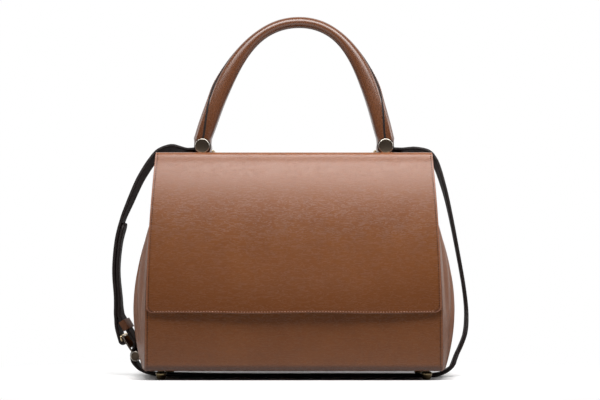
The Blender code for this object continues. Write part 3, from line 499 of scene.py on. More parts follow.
tanLook = {
    "middle": (0.160, 0.053, 0.016), "warm": (0.188, 0.063, 0.017), "deep": (0.122, 0.041, 0.015),
    "edge": (0.060, 0.022, 0.010), "stretch": (0.19, 1.0, 1.0), "pebble": 900, "crease": 460,
    "roughness": 0.27, "bump": 0.3, "gloss": 0.55, "paintedLightBands": [], "line": 0.0028, "edgeDark": 0.5,
    "grooveDark": 0.0, "press": 1.6,
}
flapTan = makeLeather("flapTan", {
    **tanLook, "middle": (0.172, 0.058, 0.018), "warm": (0.200, 0.068, 0.019), "deep": (0.132, 0.044, 0.016),
    # Painted light and shade: a painted sheen, paler towards the bend, and painted shade, darker towards the
    # hem
    "paintedLightBands": [(0.135, 0.075, (0.140, 0.045, 0.013)), (0.165, 0.228, (0.222, 0.073, 0.024))],
    # The pale band along its cut edges is a painted highlight, where the edge catches the light
    "bump": 0.36, "edge": (0.270, 0.120, 0.080), "edgeDark": 0.6, "line": 0.0024, "grooveDark": 0.2,
    "press": 0.6,
})
panelTan = makeLeather("panelTan", {
    **tanLook, "middle": (0.146, 0.049, 0.015), "warm": (0.168, 0.057, 0.016), "deep": (0.112, 0.038, 0.014),
    # Painted shade: darker along the rolled bottom edge, where it turns under, and over the whole base
    "paintedLightBands": [(0.0180, 0.0135, (0.066, 0.021, 0.007))],
    "bump": 0.2, "edge": (0.240, 0.115, 0.080), "grooveDark": 0.45, "press": 0.8,
})
gussetTan = makeLeather("gussetTan", {
    **tanLook, "middle": (0.170, 0.058, 0.020), "warm": (0.200, 0.070, 0.024), "deep": (0.120, 0.042, 0.018),
    "stretch": (1, 1, 0.25), "line": 0.004, "roughness": 0.30, "gloss": 0.3,
})
# Painted shade: the handle's leather is mixed darker than the rest of the bag's, standing in for the shade on
# its upright legs
shadedHandleTan = makeLeather("shadedHandleTan", {
    **tanLook, "middle": (0.106, 0.034, 0.011), "warm": (0.123, 0.040, 0.012), "deep": (0.085, 0.028, 0.010),
    "stretch": (1, 1, 0.6), "pebble": 1100, "bump": 0.03, "gloss": 0.9, "edgeDark": 0.0, "press": 0.0,
})
smallTan = makeLeather("smallTan", {
    **tanLook, "roughness": 0.5, "gloss": 0.3, "pebble": 1100, "line": 0.0014, "press": 0.8,
})
strapDark = makeLeather("strapDark", {
    **tanLook, "middle": (0.019, 0.010, 0.009), "warm": (0.027, 0.014, 0.012), "deep": (0.013, 0.007, 0.006),
    "edge": (0.006, 0.004, 0.004), "roughness": 0.6, "gloss": 0.14, "bump": 0.2, "edgeDark": 0.3,
})


def tinted(colour, strength):
    return [min(part * strength, 1) for part in colour]


def makePaint(name, colour, roughness, gloss):
    # Thick edge paint, slightly uneven
    material, tree, shader, spot = startMaterial(name, IOR=1.5, Specular_IOR_Level=gloss)
    uneven = noise(tree, spot, 420, 2)
    patch = remap(tree, uneven, 0.35, 0.7)
    tones = blendColours(tree, patch, colour, tinted(colour, 0.55))
    rough = blendValues(tree, patch, roughness, roughness + 0.15)
    finishMaterial(tree, shader, tones, uneven, *bumpDepth["paint"], rough)
    return material


def makeThread(name, colour):
    material, tree, shader, spot = startMaterial(name, Roughness=0.7, Specular_IOR_Level=0.15)
    inputs = {"Vector": spot, "Scale": 900, "Distortion": 0.4}
    twist = makeNode(tree, "TexWave", inputs, bands_direction="DIAGONAL").outputs["Fac"]
    tones = blendColours(tree, twist, colour, tinted(colour, 1.35))
    finishMaterial(tree, shader, tones, twist, *bumpDepth["thread"])
    return material


def makeSuede(name, colour):
    material, tree, shader, spot = startMaterial(name, Roughness=0.92, Sheen_Weight=0.5, Sheen_Roughness=0.4)
    nap = remap(tree, noise(tree, spot, 75, 6, 0.7), 0.35, 0.65)
    fine = noise(tree, spot, 1500, 2)
    tones = blendColours(tree, nap, colour, tinted(colour, 1.5))
    finishMaterial(tree, shader, tones, fine, *bumpDepth["suede"])
    return material


def makeMetal(name, colour, tarnish, roughness, tint=white):
    # Cloudy tarnish and faint brushed lines
    material, tree, shader, spot = startMaterial(name, Metallic=1.0, Specular_Tint=(*tint, 1))
    patch = remap(tree, noise(tree, spot, 160, 4, 0.6), 0.35, 0.7)
    drawn = makeNode(tree, "Mapping", {"Vector": spot, "Scale": (400, 3000, 3000)}).outputs[0]
    tones = blendColours(tree, patch, colour, tarnish)
    rough = blendValues(tree, patch, roughness, roughness + 0.1)
    finishMaterial(tree, shader, tones, noise(tree, drawn, 1, 2), *bumpDepth["metal"], rough)
    return material


def makeBoard(name, colour):
    material, tree, shader, spot = startMaterial(name, Roughness=0.9)
    fibres = noise(tree, spot, 600, 4)
    tones = blendColours(tree, fibres, colour, tinted(colour, 1.3))
    finishMaterial(tree, shader, tones, fibres, *bumpDepth["board"])
    return material


edgePaint = makePaint("edgePaint", (0.014, 0.008, 0.007), 0.50, 0.25)
hemPaint = makePaint("hemPaint", (0.085, 0.035, 0.020), 0.45, 0.5)
paleThread = makeThread("paleThread", (0.40, 0.23, 0.17))
tanThread = makeThread("tanThread", (0.20, 0.085, 0.045))
brownThread = makeThread("brownThread", (0.028, 0.010, 0.007))
darkThread = makeThread("darkThread", (0.02, 0.012, 0.01))
suedeBrown = makeSuede("suedeBrown", (0.085, 0.046, 0.026))
fleshSide = makeSuede("fleshSide", (0.13, 0.062, 0.030))
goldMetal = makeMetal("goldMetal", (0.70, 0.56, 0.36), (0.58, 0.44, 0.25), 0.18)
# Painted shade: a darker copy of the brass for the feet, which stand in the shade under the bag
shadedFootBrass = makeMetal("shadedFootBrass", (0.20, 0.15, 0.08), (0.13, 0.10, 0.055), 0.13)
darkMetal = makeMetal("darkMetal", (0.095, 0.072, 0.052), (0.070, 0.055, 0.042), 0.42, (0.30, 0.27, 0.22))
# A brighter metal for rims and edges: painted highlight
highlightMetal = makeMetal("highlightMetal", (0.46, 0.42, 0.37), (0.34, 0.31, 0.27), 0.26)
steelMetal = makeMetal("steelMetal", (0.42, 0.41, 0.39), (0.34, 0.33, 0.31), 0.35)
fibreBoard = makeBoard("fibreBoard", (0.19, 0.14, 0.09))


suedeRounding = 0.0003


def finishLeather(piece, leather, thickness, rounding=0.0005, edge=edgePaint):
    finishSheet(piece, thickness, rounding, leather, edge, fleshSide)


def finishSuede(piece, thickness):
    finishSheet(piece, thickness, suedeRounding, suedeBrown, suedeBrown, suedeBrown)


print("materials mixed")

# The body: panels, gussets, base and lining

bodyShape = {
    "baseWidth": 0.320, "topWidth": 0.302, "baseDepth": 0.160, "topDepth": 0.070,
    "height": 0.2335, "low": 0.010, "leanPower": 2.4, "straight": 0.065,
    "leather": 0.0020, "clearance": 0.0003, "gussetLeather": 0.0016, "flange": 0.010, "corner": 0.006,
    "bellyHeight": 0.065, "bellyReach": 0.020, "baseReach": 0.0095, "tuck": 0.024, "creasePower": 1.9,
    "humpPower": 1.5, "humpEase": 1.3, "dip": 0.026, "swell": 0.0015,
}
wallLow = bodyShape["low"]
wallTop = wallLow + bodyShape["height"]
lidTop = 0.2490
gap = bodyShape["clearance"]
leanRate = (bodyShape["baseDepth"] - bodyShape["topDepth"]) / 2 * bodyShape["leanPower"] / bodyShape["height"]
topLean = math.atan(leanRate)


def bodyShare(z):
    return min(max((z - wallLow) / bodyShape["height"], 0.0), 1.0)


def halfDepth(z):
    s = bodyShape
    return s["baseDepth"] / 2 - (s["baseDepth"] - s["topDepth"]) / 2 * bodyShare(z) ** s["leanPower"]


def swell(part):
    # The sides curve out a little at middle height
    return bodyShape["swell"] * 4 * max(part * (1 - part), 0.0)


def halfWidth(z):
    s = bodyShape
    part = max(z - wallLow - s["straight"], 0.0) / (s["height"] - s["straight"])
    return s["baseWidth"] / 2 - (s["baseWidth"] - s["topWidth"]) / 2 * part + swell(part)


def wallPoint(z, offset):
    # Depth and height of a point off the outer face of the back wall
    slope = -leanRate * bodyShare(z) ** (bodyShape["leanPower"] - 1)
    size = math.hypot(1.0, slope)
    return halfDepth(z) + offset / size, z - offset * slope / size


def creaseReach(z):
    s = bodyShape
    bellyZ = wallLow + s["bellyHeight"]
    if z < bellyZ:
        part = (bellyZ - z) / s["bellyHeight"]
        return s["bellyReach"] - (s["bellyReach"] - s["baseReach"]) * part ** 2
    part = (z - bellyZ) / (s["height"] - s["bellyHeight"])
    return s["bellyReach"] - (s["bellyReach"] + s["tuck"]) * part ** s["creasePower"]


def humpShare(part):
    # How far the gusset's hump comes out at a share of its depth, 1 at the middle
    return max(1 - abs(part) ** bodyShape["humpPower"], 0.0) ** bodyShape["humpEase"]


def rimHeight(part):
    return wallTop - bodyShape["dip"] * (1 - part * part) ** 2


panelLook = {
    "roll": 0.0040, "stitchLine": 0.0030, "edge": 0.006, "edgeSteps": 5, "rollSteps": 6, "rows": 40,
    "columns": 44, "seamEnds": (0.006, 0.004), "seamPoints": 70, "seamThread": 0.00044,
}


def frontPlace(x, z):
    # x is a share of the half width; below the roll the wall curls under the base
    roll = panelLook["roll"]
    width = halfWidth(max(z, wallLow))
    if z >= wallLow + roll:
        y, height = wallPoint(z, 0.0)
    else:
        angle = (wallLow + roll - z) / roll * math.pi / 2
        y = halfDepth(wallLow + roll) - roll + roll * math.cos(angle)
        height = wallLow + roll - roll * math.sin(angle)
    distance = min((1 - abs(x)) * width, z - wallLow + roll)
    return Vector((x * width, -y, height)), distance


def edgeStations(half, edge, edgeSteps, middleSteps):
    # Stations from -1 to 1, closer together near both ends
    inner = 1 - edge / half
    return span(-1, -inner, edgeSteps) + span(-inner, inner, middleSteps) + span(inner, 1, edgeSteps) + [1.0]


panelAcross = edgeStations(
    bodyShape["baseWidth"] / 2, panelLook["edge"], panelLook["edgeSteps"], panelLook["columns"]
)
panelUp = (
    span(wallLow, wallLow + panelLook["roll"], panelLook["rollSteps"])
    + span(wallLow + panelLook["roll"], wallTop, panelLook["rows"]) + [wallTop]
)
frontPanel = sheetFrom("frontPanel", panelAcross, panelUp, frontPlace)
finishLeather(frontPanel, panelTan, bodyShape["leather"])
settle(frontPanel, "bag", "tan_leather", "front_panel")

seamLow, seamHigh = panelLook["seamEnds"]
for side, name in bothSides:
    line = []
    for z in span(wallLow + seamLow, wallTop - seamHigh, panelLook["seamPoints"]):
        x = side * (1 - panelLook["stitchLine"] / halfWidth(z))
        line.append(surfacePoint(frontPlace, x, z))
    seam = sewLine("frontSeam" + name, line, brownThread, radius=panelLook["seamThread"])
    settle(seam, "bag", "tan_leather")

hingeStrip = {
    "length": 0.012, "thickness": 0.0017, "lift": 0.0018, "steps": 10, "narrowing": 0.0012, "lap": 0.009,
    "rim": 0.014,
}


def backPlace(x, z):
    # Above the wall's top the leather bends over the back edge and lies on the lid
    strip = hingeStrip
    if z <= wallTop:
        point, distance = frontPlace(x, z)
        return Vector((-point.x, -point.y, point.z)), distance
    share = (z - wallTop) / strip["length"]
    width = halfWidth(wallTop) - strip["narrowing"] * share
    top = lidTop + strip["lift"]
    start = Vector((halfDepth(wallTop), wallTop))
    corner = Vector((start.x - (top - wallTop) * math.tan(topLean), top))
    end = Vector((corner.x - strip["lap"], top))
    place = start * (1 - share) ** 2 + corner * 2 * share * (1 - share) + end * share ** 2
    distance = min((1 - abs(x)) * width, (1 - share) * strip["rim"])
    return Vector((-x * width, place.x, place.y)), distance


stripTop = wallTop + hingeStrip["length"]
backUp = panelUp[:-1] + span(wallTop, stripTop, hingeStrip["steps"]) + [stripTop]
backPanel = sheetFrom("backPanel", panelAcross, backUp, backPlace)
finishLeather(backPanel, panelTan, hingeStrip["thickness"])
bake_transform(backPanel)
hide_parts("back_panel")
print("front and back panels done")


def sideSection(z, cornerSteps=6, humpSteps=44):
    # The right gusset's outer line at one height, front to back, with each point's share of the depth
    s = bodyShape
    width = halfWidth(z)
    depth = halfDepth(z) - s["leather"] - gap
    side = depth - s["corner"]
    edge = [(width - s["flange"], depth)]
    for step in range(cornerSteps + 1):
        turn = math.pi / 2 * step / cornerSteps
        edge.append((width - s["corner"] + s["corner"] * math.sin(turn), side + s["corner"] * math.cos(turn)))
    hump = []
    for step in range(1, humpSteps):
        part = -1 + 2 * step / humpSteps
        x = width + creaseReach(z) * humpShare(part)
        hump.append(((x + gussetFold(part, z), part * side), part))
    return [((x, -y), -1.0) for x, y in edge] + hump + [((x, y), 1.0) for x, y in reversed(edge)]


gussetLook = {"rows": 56, "rounding": 0.0004, "rim": 0.2}
foldLook = {"drift": 0.10, "bends": 30, "ridge": 0.35, "ridgePlace": 1.9, "ridgeWidth": 1.3}
gussetFolds = [
    # place across, middle height, half length, width, depth
    (-0.58, 0.128, 0.075, 0.080, 0.0030),
    (-0.26, 0.095, 0.080, 0.070, 0.0024),
    (0.10, 0.150, 0.070, 0.060, 0.0014),
    (0.42, 0.100, 0.080, 0.070, 0.0013),
    (0.70, 0.140, 0.060, 0.060, 0.0012),
]


def gussetFold(part, z):
    # Long soft folds that run up a filled gusset, each with a low ridge beside it
    s = foldLook
    total = 0.0
    for middle, height, half, width, depth in gussetFolds:
        drift = middle + s["drift"] * math.sin((z - height) * s["bends"])
        along = max(0.0, 1 - ((z - height) / half) ** 2)
        away = (part - drift) / width
        total -= depth * along * math.exp(-away * away)
        beside = (part - drift - s["ridgePlace"] * width) / (s["ridgeWidth"] * width)
        total += s["ridge"] * depth * along * math.exp(-beside * beside)
    return total * max(0.0, 1 - abs(part) ** 4)


sectionParts = [part for point, part in sideSection(wallTop)]


def gussetPlace(side):
    def place(station, share):
        index = min(int(round(station)), len(sectionParts) - 1)
        part = sectionParts[index]
        z = wallLow + (rimHeight(part) - wallLow) * share
        x, y = sideSection(z)[index][0]
        distance = (1 - share) * gussetLook["rim"] if abs(part) < 1 else farFromEdge
        return Vector((side * x, y, z)), min(distance, farFromEdge)
    return place


for side, name in bothSides:
    stations = list(range(len(sectionParts)))[::side]
    gusset = sheetFrom("gusset" + name, stations, span(0, 1, gussetLook["rows"]) + [1.0], gussetPlace(side))
    finishLeather(gusset, gussetTan, bodyShape["gussetLeather"], gussetLook["rounding"])
    settle(gusset, "bag", "tan_leather", name.lower() + "_gusset")
print("gussets done")


ringSteps = (4, 24)


def wallRing(z, inset):
    # The closed line inside both walls and both gussets
    right = [point for point, part in sideSection(z, *ringSteps)]
    line = right + [(-x, y) for x, y in reversed(right)]
    moved = []
    for index, point in enumerate(line):
        before, after = line[index - 1], line[(index + 1) % len(line)]
        first = (Vector(point) - Vector(before)).normalized()
        second = (Vector(after) - Vector(point)).normalized()
        if first.length < 0.5:
            first = second
        if second.length < 0.5:
            second = first
        normal = Vector((-first.y - second.y, first.x + second.x)).normalized()
        reach = inset / max(normal.dot(Vector((-first.y, first.x))), 0.5)
        moved.append((point[0] + normal.x * reach, point[1] + normal.y * reach))
    return moved


ringParts = [part for point, part in sideSection(wallTop, *ringSteps)]
ringParts = ringParts + ringParts[::-1]
ringCount = len(ringParts)
ringAcross = list(range(ringCount + 1))
liningLook = {
    "floor": 0.0151, "thickness": 0.0010, "floorRows": 6, "wallStart": 0.024, "wallRows": 34, "rim": 0.2,
}


def liningPlace(station, share):
    # From the middle of the floor outwards and then up the walls
    index = int(round(station)) % ringCount
    inset = bodyShape["gussetLeather"] + gap + liningLook["thickness"]
    level = liningLook["floor"] + liningLook["thickness"]
    if share < 0:
        x, y = wallRing(liningLook["floor"], inset)[index]
        return Vector((x * (1 + share), y * (1 + share), level)), farFromEdge
    z = max(wallLow + (rimHeight(ringParts[index]) - wallLow) * share, level)
    x, y = wallRing(z, inset)[index]
    return Vector((x, y, z)), (1 - share) * liningLook["rim"]


liningWall = span(liningLook["wallStart"], 1, liningLook["wallRows"]) + [1.0]
liningUp = span(-1, 0, liningLook["floorRows"]) + liningWall
lining = sheetFrom("liningShell", ringAcross, liningUp, liningPlace)
closeSeam(lining, inside=True)
giveMaterials(lining, suedeBrown)
useModifier(lining, "SOLIDIFY", thickness=liningLook["thickness"], offset=-1)
smoothFaces(lining, 50)
settle(lining, "bag", "suede_lining", "lining")

baseLook = {"thickness": 0.0020, "edge": 0.0040, "inset": 0.0019, "rows": 8, "rounding": 0.0004, "rim": 0.08}


def basePlace(station, share):
    index = int(round(station)) % ringCount
    x, y = wallRing(wallLow, baseLook["inset"])[index]
    limit = halfDepth(wallLow) - baseLook["edge"]
    y = max(-limit, min(limit, y))
    return Vector((x * share, y * share, wallLow)), (1 - share) * baseLook["rim"]


basePanel = sheetFrom("basePanel", ringAcross, span(0, 1, baseLook["rows"]) + [1.0], basePlace)
closeSeam(basePanel)
if basePanel.data.polygons[0].normal.z > 0:
    basePanel.data.flip_normals()
finishLeather(basePanel, panelTan, baseLook["thickness"], baseLook["rounding"])
settle(basePanel, "bag", "tan_leather", "base_panel")
giveMaterials(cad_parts["base_board"], fibreBoard)
giveMaterials(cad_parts["lid_board"], fibreBoard)
print("lining and base done")


def turnedPiece(name, profile, sides, matrix):
    # A profile of radius and height, from the top down, turned about Z
    def place(station, row):
        angle = 2 * math.pi * station / sides
        radius, height = profile[int(round(row))]
        return Vector((radius * math.cos(angle), radius * math.sin(angle), height)), farFromEdge
    piece = sheetFrom(name, list(range(sides + 1)), list(range(len(profile))), place)
    piece.data.transform(matrix)
    closeSeam(piece)
    return piece


footLook = {"insetX": 0.0162, "insetY": 0.022, "sides": 40}
footProfile = [
    (0, 0.0097), (0.0032, 0.0097), (0.0032, 0.0091), (0.0044, 0.0086), (0.0056, 0.0078), (0.0060, 0.0072),
    (0.0060, 0.0060), (0.0058, 0.0046), (0.0052, 0.0030), (0.0044, 0.0014), (0.0038, 0.0004), (0.0034, 0.0),
    (0, 0.0),
]
for front, frontName in ((-1, "Front"), (1, "Rear")):
    for side, sideName in bothSides:
        x = side * (bodyShape["baseWidth"] / 2 - footLook["insetX"])
        y = front * (bodyShape["baseDepth"] / 2 - footLook["insetY"])
        matrix = Matrix.Translation((x, y, 0))
        foot = turnedPiece("stud" + frontName + sideName, footProfile, footLook["sides"], matrix)
        giveMaterials(foot, shadedFootBrass)
        smoothFaces(foot, 35)
        settle(foot, "bag", "brass", "foot_" + frontName.lower() + "_" + sideName.lower())
print("feet done")

# Flap and lid: one piece of leather from the back edge over the front and down

flapShape = {
    "hem": 0.072, "hemWidth": 0.317, "topWidth": 0.3055, "corner": 0.0075, "stack": 0.0036,
    "thickness": 0.0020, "stitchLine": 0.0024, "hemLine": 0.0014, "bulge": 0.0008, "bulgeReach": 0.005,
    "wave": 0.0004, "waves": (7.3, 0.6), "waveFade": 0.03,
    "lift": 0.0045, "liftFade": 0.035, "liftPower": 0.8,
    "rows": 70, "rollSteps": 10, "lidRows": 14, "columns": 60, "edgeSteps": 6, "backGap": 0.0004,
    "lining": 0.0010, "liningDepth": 0.0023, "liningInset": 0.0012,
}
rollRadius = (lidTop - wallTop - flapShape["stack"] * math.sin(topLean)) / (1 - math.sin(topLean))
flapHingeY = -(bodyShape["topDepth"] / 2 + (flapShape["stack"] - rollRadius) * math.cos(topLean))
lidHingeY = bodyShape["topDepth"] / 2
rollTurn = math.pi / 2 - topLean
rollLength = rollRadius * rollTurn
lidLength = lidHingeY - flapHingeY


def flapHalfWidth(z):
    s = flapShape
    part = min(max(z - s["hem"], 0.0) / (lidTop - s["hem"]), 1.0)
    return s["hemWidth"] / 2 - (s["hemWidth"] - s["topWidth"]) / 2 * part + swell(part)


def flapLine(reach, offset):
    # Depth and height at a distance from the hem: up the front, round the roll and back over the lid
    drop = wallTop - flapShape["hem"]
    away = (reach - drop) / flapShape["bulgeReach"]
    full = offset + flapShape["bulge"] * math.exp(-away * away)     # the leather swells just below its bend
    if reach <= drop:
        y, z = wallPoint(flapShape["hem"] + reach, full)
        return -y, z
    reach -= drop
    arc = rollRadius - flapShape["stack"] + full
    if reach <= rollLength:
        angle = rollTurn * (1 - reach / rollLength)
        return flapHingeY - arc * math.sin(angle), lidTop - rollRadius + arc * math.cos(angle)
    return flapHingeY + (reach - rollLength), lidTop - flapShape["stack"] + offset


def hemShift(x, reach):
    # How far the leather near the hem stands off the panel, and its slight wave up and down
    s = flapShape
    rate, phase = s["waves"]
    wave = s["wave"] * math.sin(x * rate + phase) * math.exp(-reach / s["waveFade"])
    if abs(x) >= 1:
        return 0.0, wave
    fade = math.exp(-(reach / s["liftFade"]) ** 2)
    return s["lift"] * fade * math.cos(x * math.pi / 2) ** s["liftPower"], wave


def flapPlaceAt(offset, edge=0.0):
    s = flapShape

    def place(x, reach):
        y, z = flapLine(reach, offset)
        width = flapHalfWidth(z) - edge
        aside = (1 - abs(x)) * width
        side = math.copysign(1, x)
        above = reach
        if aside < s["corner"] and reach < s["corner"]:
            p = (s["corner"] - aside) / s["corner"]
            q = (s["corner"] - reach) / s["corner"]
            aside = s["corner"] * (1 - p * math.sqrt(1 - q * q / 2))
            above = s["corner"] * (1 - q * math.sqrt(1 - p * p / 2))
            y, z = flapLine(above, offset)
        out, wave = hemShift(x, above)
        corner = max(0.0, s["corner"] - aside) * max(0.0, s["corner"] - above)
        distance = min(aside, above + s["stitchLine"] - s["hemLine"])
        if corner > 0:
            distance = s["corner"] - math.hypot(s["corner"] - aside, s["corner"] - above)
        return Vector((side * (width - aside), y - out, z + wave)), max(distance, 0.0)
    return place


corner, edgeSteps = flapShape["corner"], flapShape["edgeSteps"]
flapAcross = edgeStations(flapShape["hemWidth"] / 2, corner, edgeSteps, flapShape["columns"])
drop = wallTop - flapShape["hem"]
bendEnd = drop + rollLength
lidEnd = bendEnd + lidLength - flapShape["backGap"]
flapUp = (
    span(0, corner, edgeSteps) + span(corner, drop, flapShape["rows"])
    + span(drop, bendEnd, flapShape["rollSteps"])
)
wholeUp = flapUp + span(bendEnd, lidEnd, flapShape["lidRows"]) + [lidEnd]

flapLeather = sheetFrom("flapLeather", flapAcross, wholeUp, flapPlaceAt(flapShape["stack"]))
finishLeather(flapLeather, flapTan, flapShape["thickness"], edge=hemPaint)
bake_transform(flapLeather)
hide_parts("flap_leather", "lid_leather")

underFlap = flapPlaceAt(flapShape["stack"] - flapShape["liningDepth"], flapShape["liningInset"])
flapLining = sheetFrom("flapLining", flapAcross, flapUp + [bendEnd], underFlap)
finishSuede(flapLining, flapShape["lining"])
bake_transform(flapLining)
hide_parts("flap_lining")

flapSeamLook = {
    "top": 0.9, "sidePoints": 60, "cornerSteps": 8, "hemStart": -0.95, "hemPoints": 50,
    "hemPitch": 0.0031, "hemThread": 0.0004, "sideThread": 0.00046, "probe": 0.001,
}


def leftSeam():
    # Down the left side and round its corner, and the left half of the hem
    s, look = flapShape, flapSeamLook
    inner, low = s["corner"] - s["stitchLine"], s["corner"] - s["hemLine"]
    top = drop + rollLength * look["top"]
    side = [(-1, s["stitchLine"], reach) for reach in span(top, s["corner"], look["sidePoints"])]
    for step in range(look["cornerSteps"] + 1):
        angle = math.pi / 2 * step / look["cornerSteps"]
        side.append((-1, s["corner"] - inner * math.cos(angle), s["corner"] - low * math.sin(angle)))
    return side, [(x, None, s["hemLine"]) for x in span(look["hemStart"], 0.0, look["hemPoints"])]


def mirrored(pairs):
    return [(-side, aside, reach) for side, aside, reach in reversed(pairs)]


def flapSpot(side, aside, reach):
    y, z = flapLine(reach, flapShape["stack"])
    width = flapHalfWidth(z)
    x = side if aside is None else math.copysign(1 - aside / width, side)
    out, wave = hemShift(x, reach)
    ahead = flapLine(reach + flapSeamLook["probe"], flapShape["stack"])
    normal = Vector((0, -(ahead[1] - z), ahead[0] - y)).normalized()
    return Vector((x * width, y - out, z + wave)), normal


leftSide, leftHem = leftSeam()
hemPairs = leftHem + [(0.0, None, flapShape["hemLine"])] + mirrored(leftHem)
line = [flapSpot(*pair) for pair in hemPairs]
hemStitches = sewLine("hemStitches", line, paleThread, flapSeamLook["hemPitch"], flapSeamLook["hemThread"])
settle(hemStitches, "flap", "tan_leather")
for name, pairs in (("Left", leftSide), ("Right", mirrored(leftSide))):
    line = [flapSpot(*pair) for pair in pairs]
    sideStitches = sewLine("flapStitches" + name, line, brownThread, radius=flapSeamLook["sideThread"])
    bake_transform(sideStitches)
print("flap done")

lidLook = {
    "liningTop": 0.2448, "thickness": 0.0010, "inset": 0.0012, "gaps": (0.0001, 0.0002), "rim": 0.06,
    "halfWidth": 0.15, "edge": 0.006, "edgeSteps": 3, "columns": 30, "rows": 12,
}


def lidLiningPlace(x, y):
    width = flapShape["topWidth"] / 2 - lidLook["inset"]
    low = lidLook["liningTop"] - lidLook["thickness"]
    front, back = flapHingeY + lidLook["gaps"][0], lidHingeY - lidLook["gaps"][1]
    distance = min((1 - abs(x)) * width, y * lidLook["rim"], (1 - y) * lidLook["rim"])
    return Vector((x * width, front + (back - front) * y, low)), distance


lidAcross = edgeStations(lidLook["halfWidth"], lidLook["edge"], lidLook["edgeSteps"], lidLook["columns"])
lidLining = sheetFrom("lidLining", lidAcross[::-1], span(0, 1, lidLook["rows"]) + [1.0], lidLiningPlace)
finishSuede(lidLining, lidLook["thickness"])
settle(lidLining, "lid", "suede_lining", "lid_lining")
print("lid done")

# Barrels and handle

barrelShape = {
    "spread": 0.1025, "length": 0.040, "cap": 0.004, "radius": 0.0083, "chamfer": 0.0008,
    "core": 0.0056, "wrap": 0.0094, "sides": 72, "wrapRounding": 0.0004,
}
barrelZ = lidTop + gap + barrelShape["radius"]
spoolLook = {"dish": 0.0002, "dishSlope": (0.0006, 0.0003), "lip": 0.0002, "rimTilt": (0.12, 0.995)}


def spoolProfile(length, cap, radius, chamfer, core):
    # The end face has a shallow dish inside its chamfered rim
    half = length / 2
    flat = radius - chamfer
    dish, lip = spoolLook["dish"], spoolLook["lip"]
    slopeStart, slopeEnd = spoolLook["dishSlope"]
    top = [
        (0, half - dish), (flat - slopeStart, half - dish), (flat - slopeEnd, half - dish / 2), (flat, half),
        (radius - chamfer * 0.6, half - chamfer * 0.12), (radius - chamfer * 0.15, half - chamfer * 0.55),
        (radius, half - chamfer), (radius, half - cap + lip), (radius - lip, half - cap), (core, half - cap),
    ]
    return top + [(r, -h) for r, h in reversed(top)]


def paintRimHighlight(piece, centre, axis, inner, outer):
    # Gives the chamfered rim of both end caps the second, brighter metal: a painted highlight
    low, high = spoolLook["rimTilt"]
    for face in piece.data.polygons:
        away = face.center - centre
        radial = away - axis * away.dot(axis)
        tilt = abs(face.normal.dot(axis))
        if inner < radial.length < outer and low < tilt < high:
            face.material_index = 1


def wrapPlace(middle):
    s = barrelShape
    half, inner = s["length"] / 2 - s["cap"] - gap, s["core"] + gap
    lowest = barrelZ - lidTop - gap

    def place(station, row):
        # Closed loop across the leather's thickness, from the outer left edge round to the inner side
        angle = 2 * math.pi * station / s["sides"]
        outer = s["wrap"]
        if -math.sin(angle) * outer > lowest:
            outer = lowest / -math.sin(angle)
        rounded, end = outer - s["wrapRounding"], half - s["wrapRounding"]
        spots = [(rounded, -half), (outer, -end), (outer, -half / 3), (outer, half / 3), (outer, end),
                 (rounded, half), (inner, half), (inner, -half), (rounded, -half)]
        radius, depth = spots[int(round(row))]
        x, z = middle + math.cos(angle) * radius, barrelZ + math.sin(angle) * radius
        return Vector((x, depth, z)), farFromEdge
    return place


for side, name in bothSides:
    s = barrelShape
    centre = Vector((side * s["spread"], 0, barrelZ))
    profile = spoolProfile(s["length"], s["cap"], s["radius"], s["chamfer"], s["core"])
    matrix = Matrix.Translation(centre) @ Matrix.Rotation(math.pi / 2, 4, "X")
    barrel = turnedPiece("barrel" + name, profile, s["sides"], matrix)
    giveMaterials(barrel, darkMetal, highlightMetal)
    paintRimHighlight(barrel, centre, Vector((0, 1, 0)), s["radius"] - s["chamfer"], s["radius"])
    smoothFaces(barrel, 30)
    settle(barrel, "lid", "dark_bronze", "barrel_" + name.lower())

    around = list(range(s["sides"] + 1))
    wrap = sheetFrom("handleWrap" + name, around, list(range(9)), wrapPlace(side * s["spread"]))
    closeSeam(wrap)
    giveMaterials(wrap, shadedHandleTan, edgePaint)
    for face in wrap.data.polygons:
        if abs(face.normal.y) > 0.6:
            face.material_index = 1
    smoothFaces(wrap, 45)
    settle(wrap, "lid", "tan_leather", "handle_wrap_" + name.lower())

handleShape = {
    "rise": 0.1324, "pull": 0.046, "leftLean": 0.0150, "rightLean": 0.0126, "leftShoulder": 0.0645,
    "rightShoulder": 0.0690, "sway": 0.0057, "swayPower": 1.5, "levelEnd": 0.16, "slim": (0.33, 0.80),
    "narrow": (0.05, 0.75), "footRoundness": 0.6, "footTaper": (0.0009, 0.004),
    "legThickness": 0.0195, "gripThickness": 0.0125, "gripWidth": 0.0165, "rows": 150, "below": 0.0075,
    "leafColumns": 14, "tubeColumns": 34, "seamEnd": 0.62, "kink": 0.36, "seamLow": 0.05, "seamHigh": 0.945,
    "seamTip": 0.995, "seamPower": 1.45, "seamBand": (0.0024, 0.0013), "bandTurn": (0.30, 0.13),
    "leafRise": 0.0007, "kinkRise": 0.0009, "kinkBefore": 0.02, "kinkSpread": 0.07, "leafFade": 0.05,
    "leafDome": (0.35, 6), "stepDepth": 1.15, "under": 0.5, "underFade": 6, "paintBand": (0.93, 2.1),
}
handleSeam = {
    "start": 0.03, "reach": 0.42, "points": 50, "station": 0.72, "pitch": 0.0030, "probe": (0.02, 0.002),
}


def smoothStep(value, low, high):
    part = min(max((value - low) / (high - low), 0.0), 1.0)
    return part * part * (3 - 2 * part)


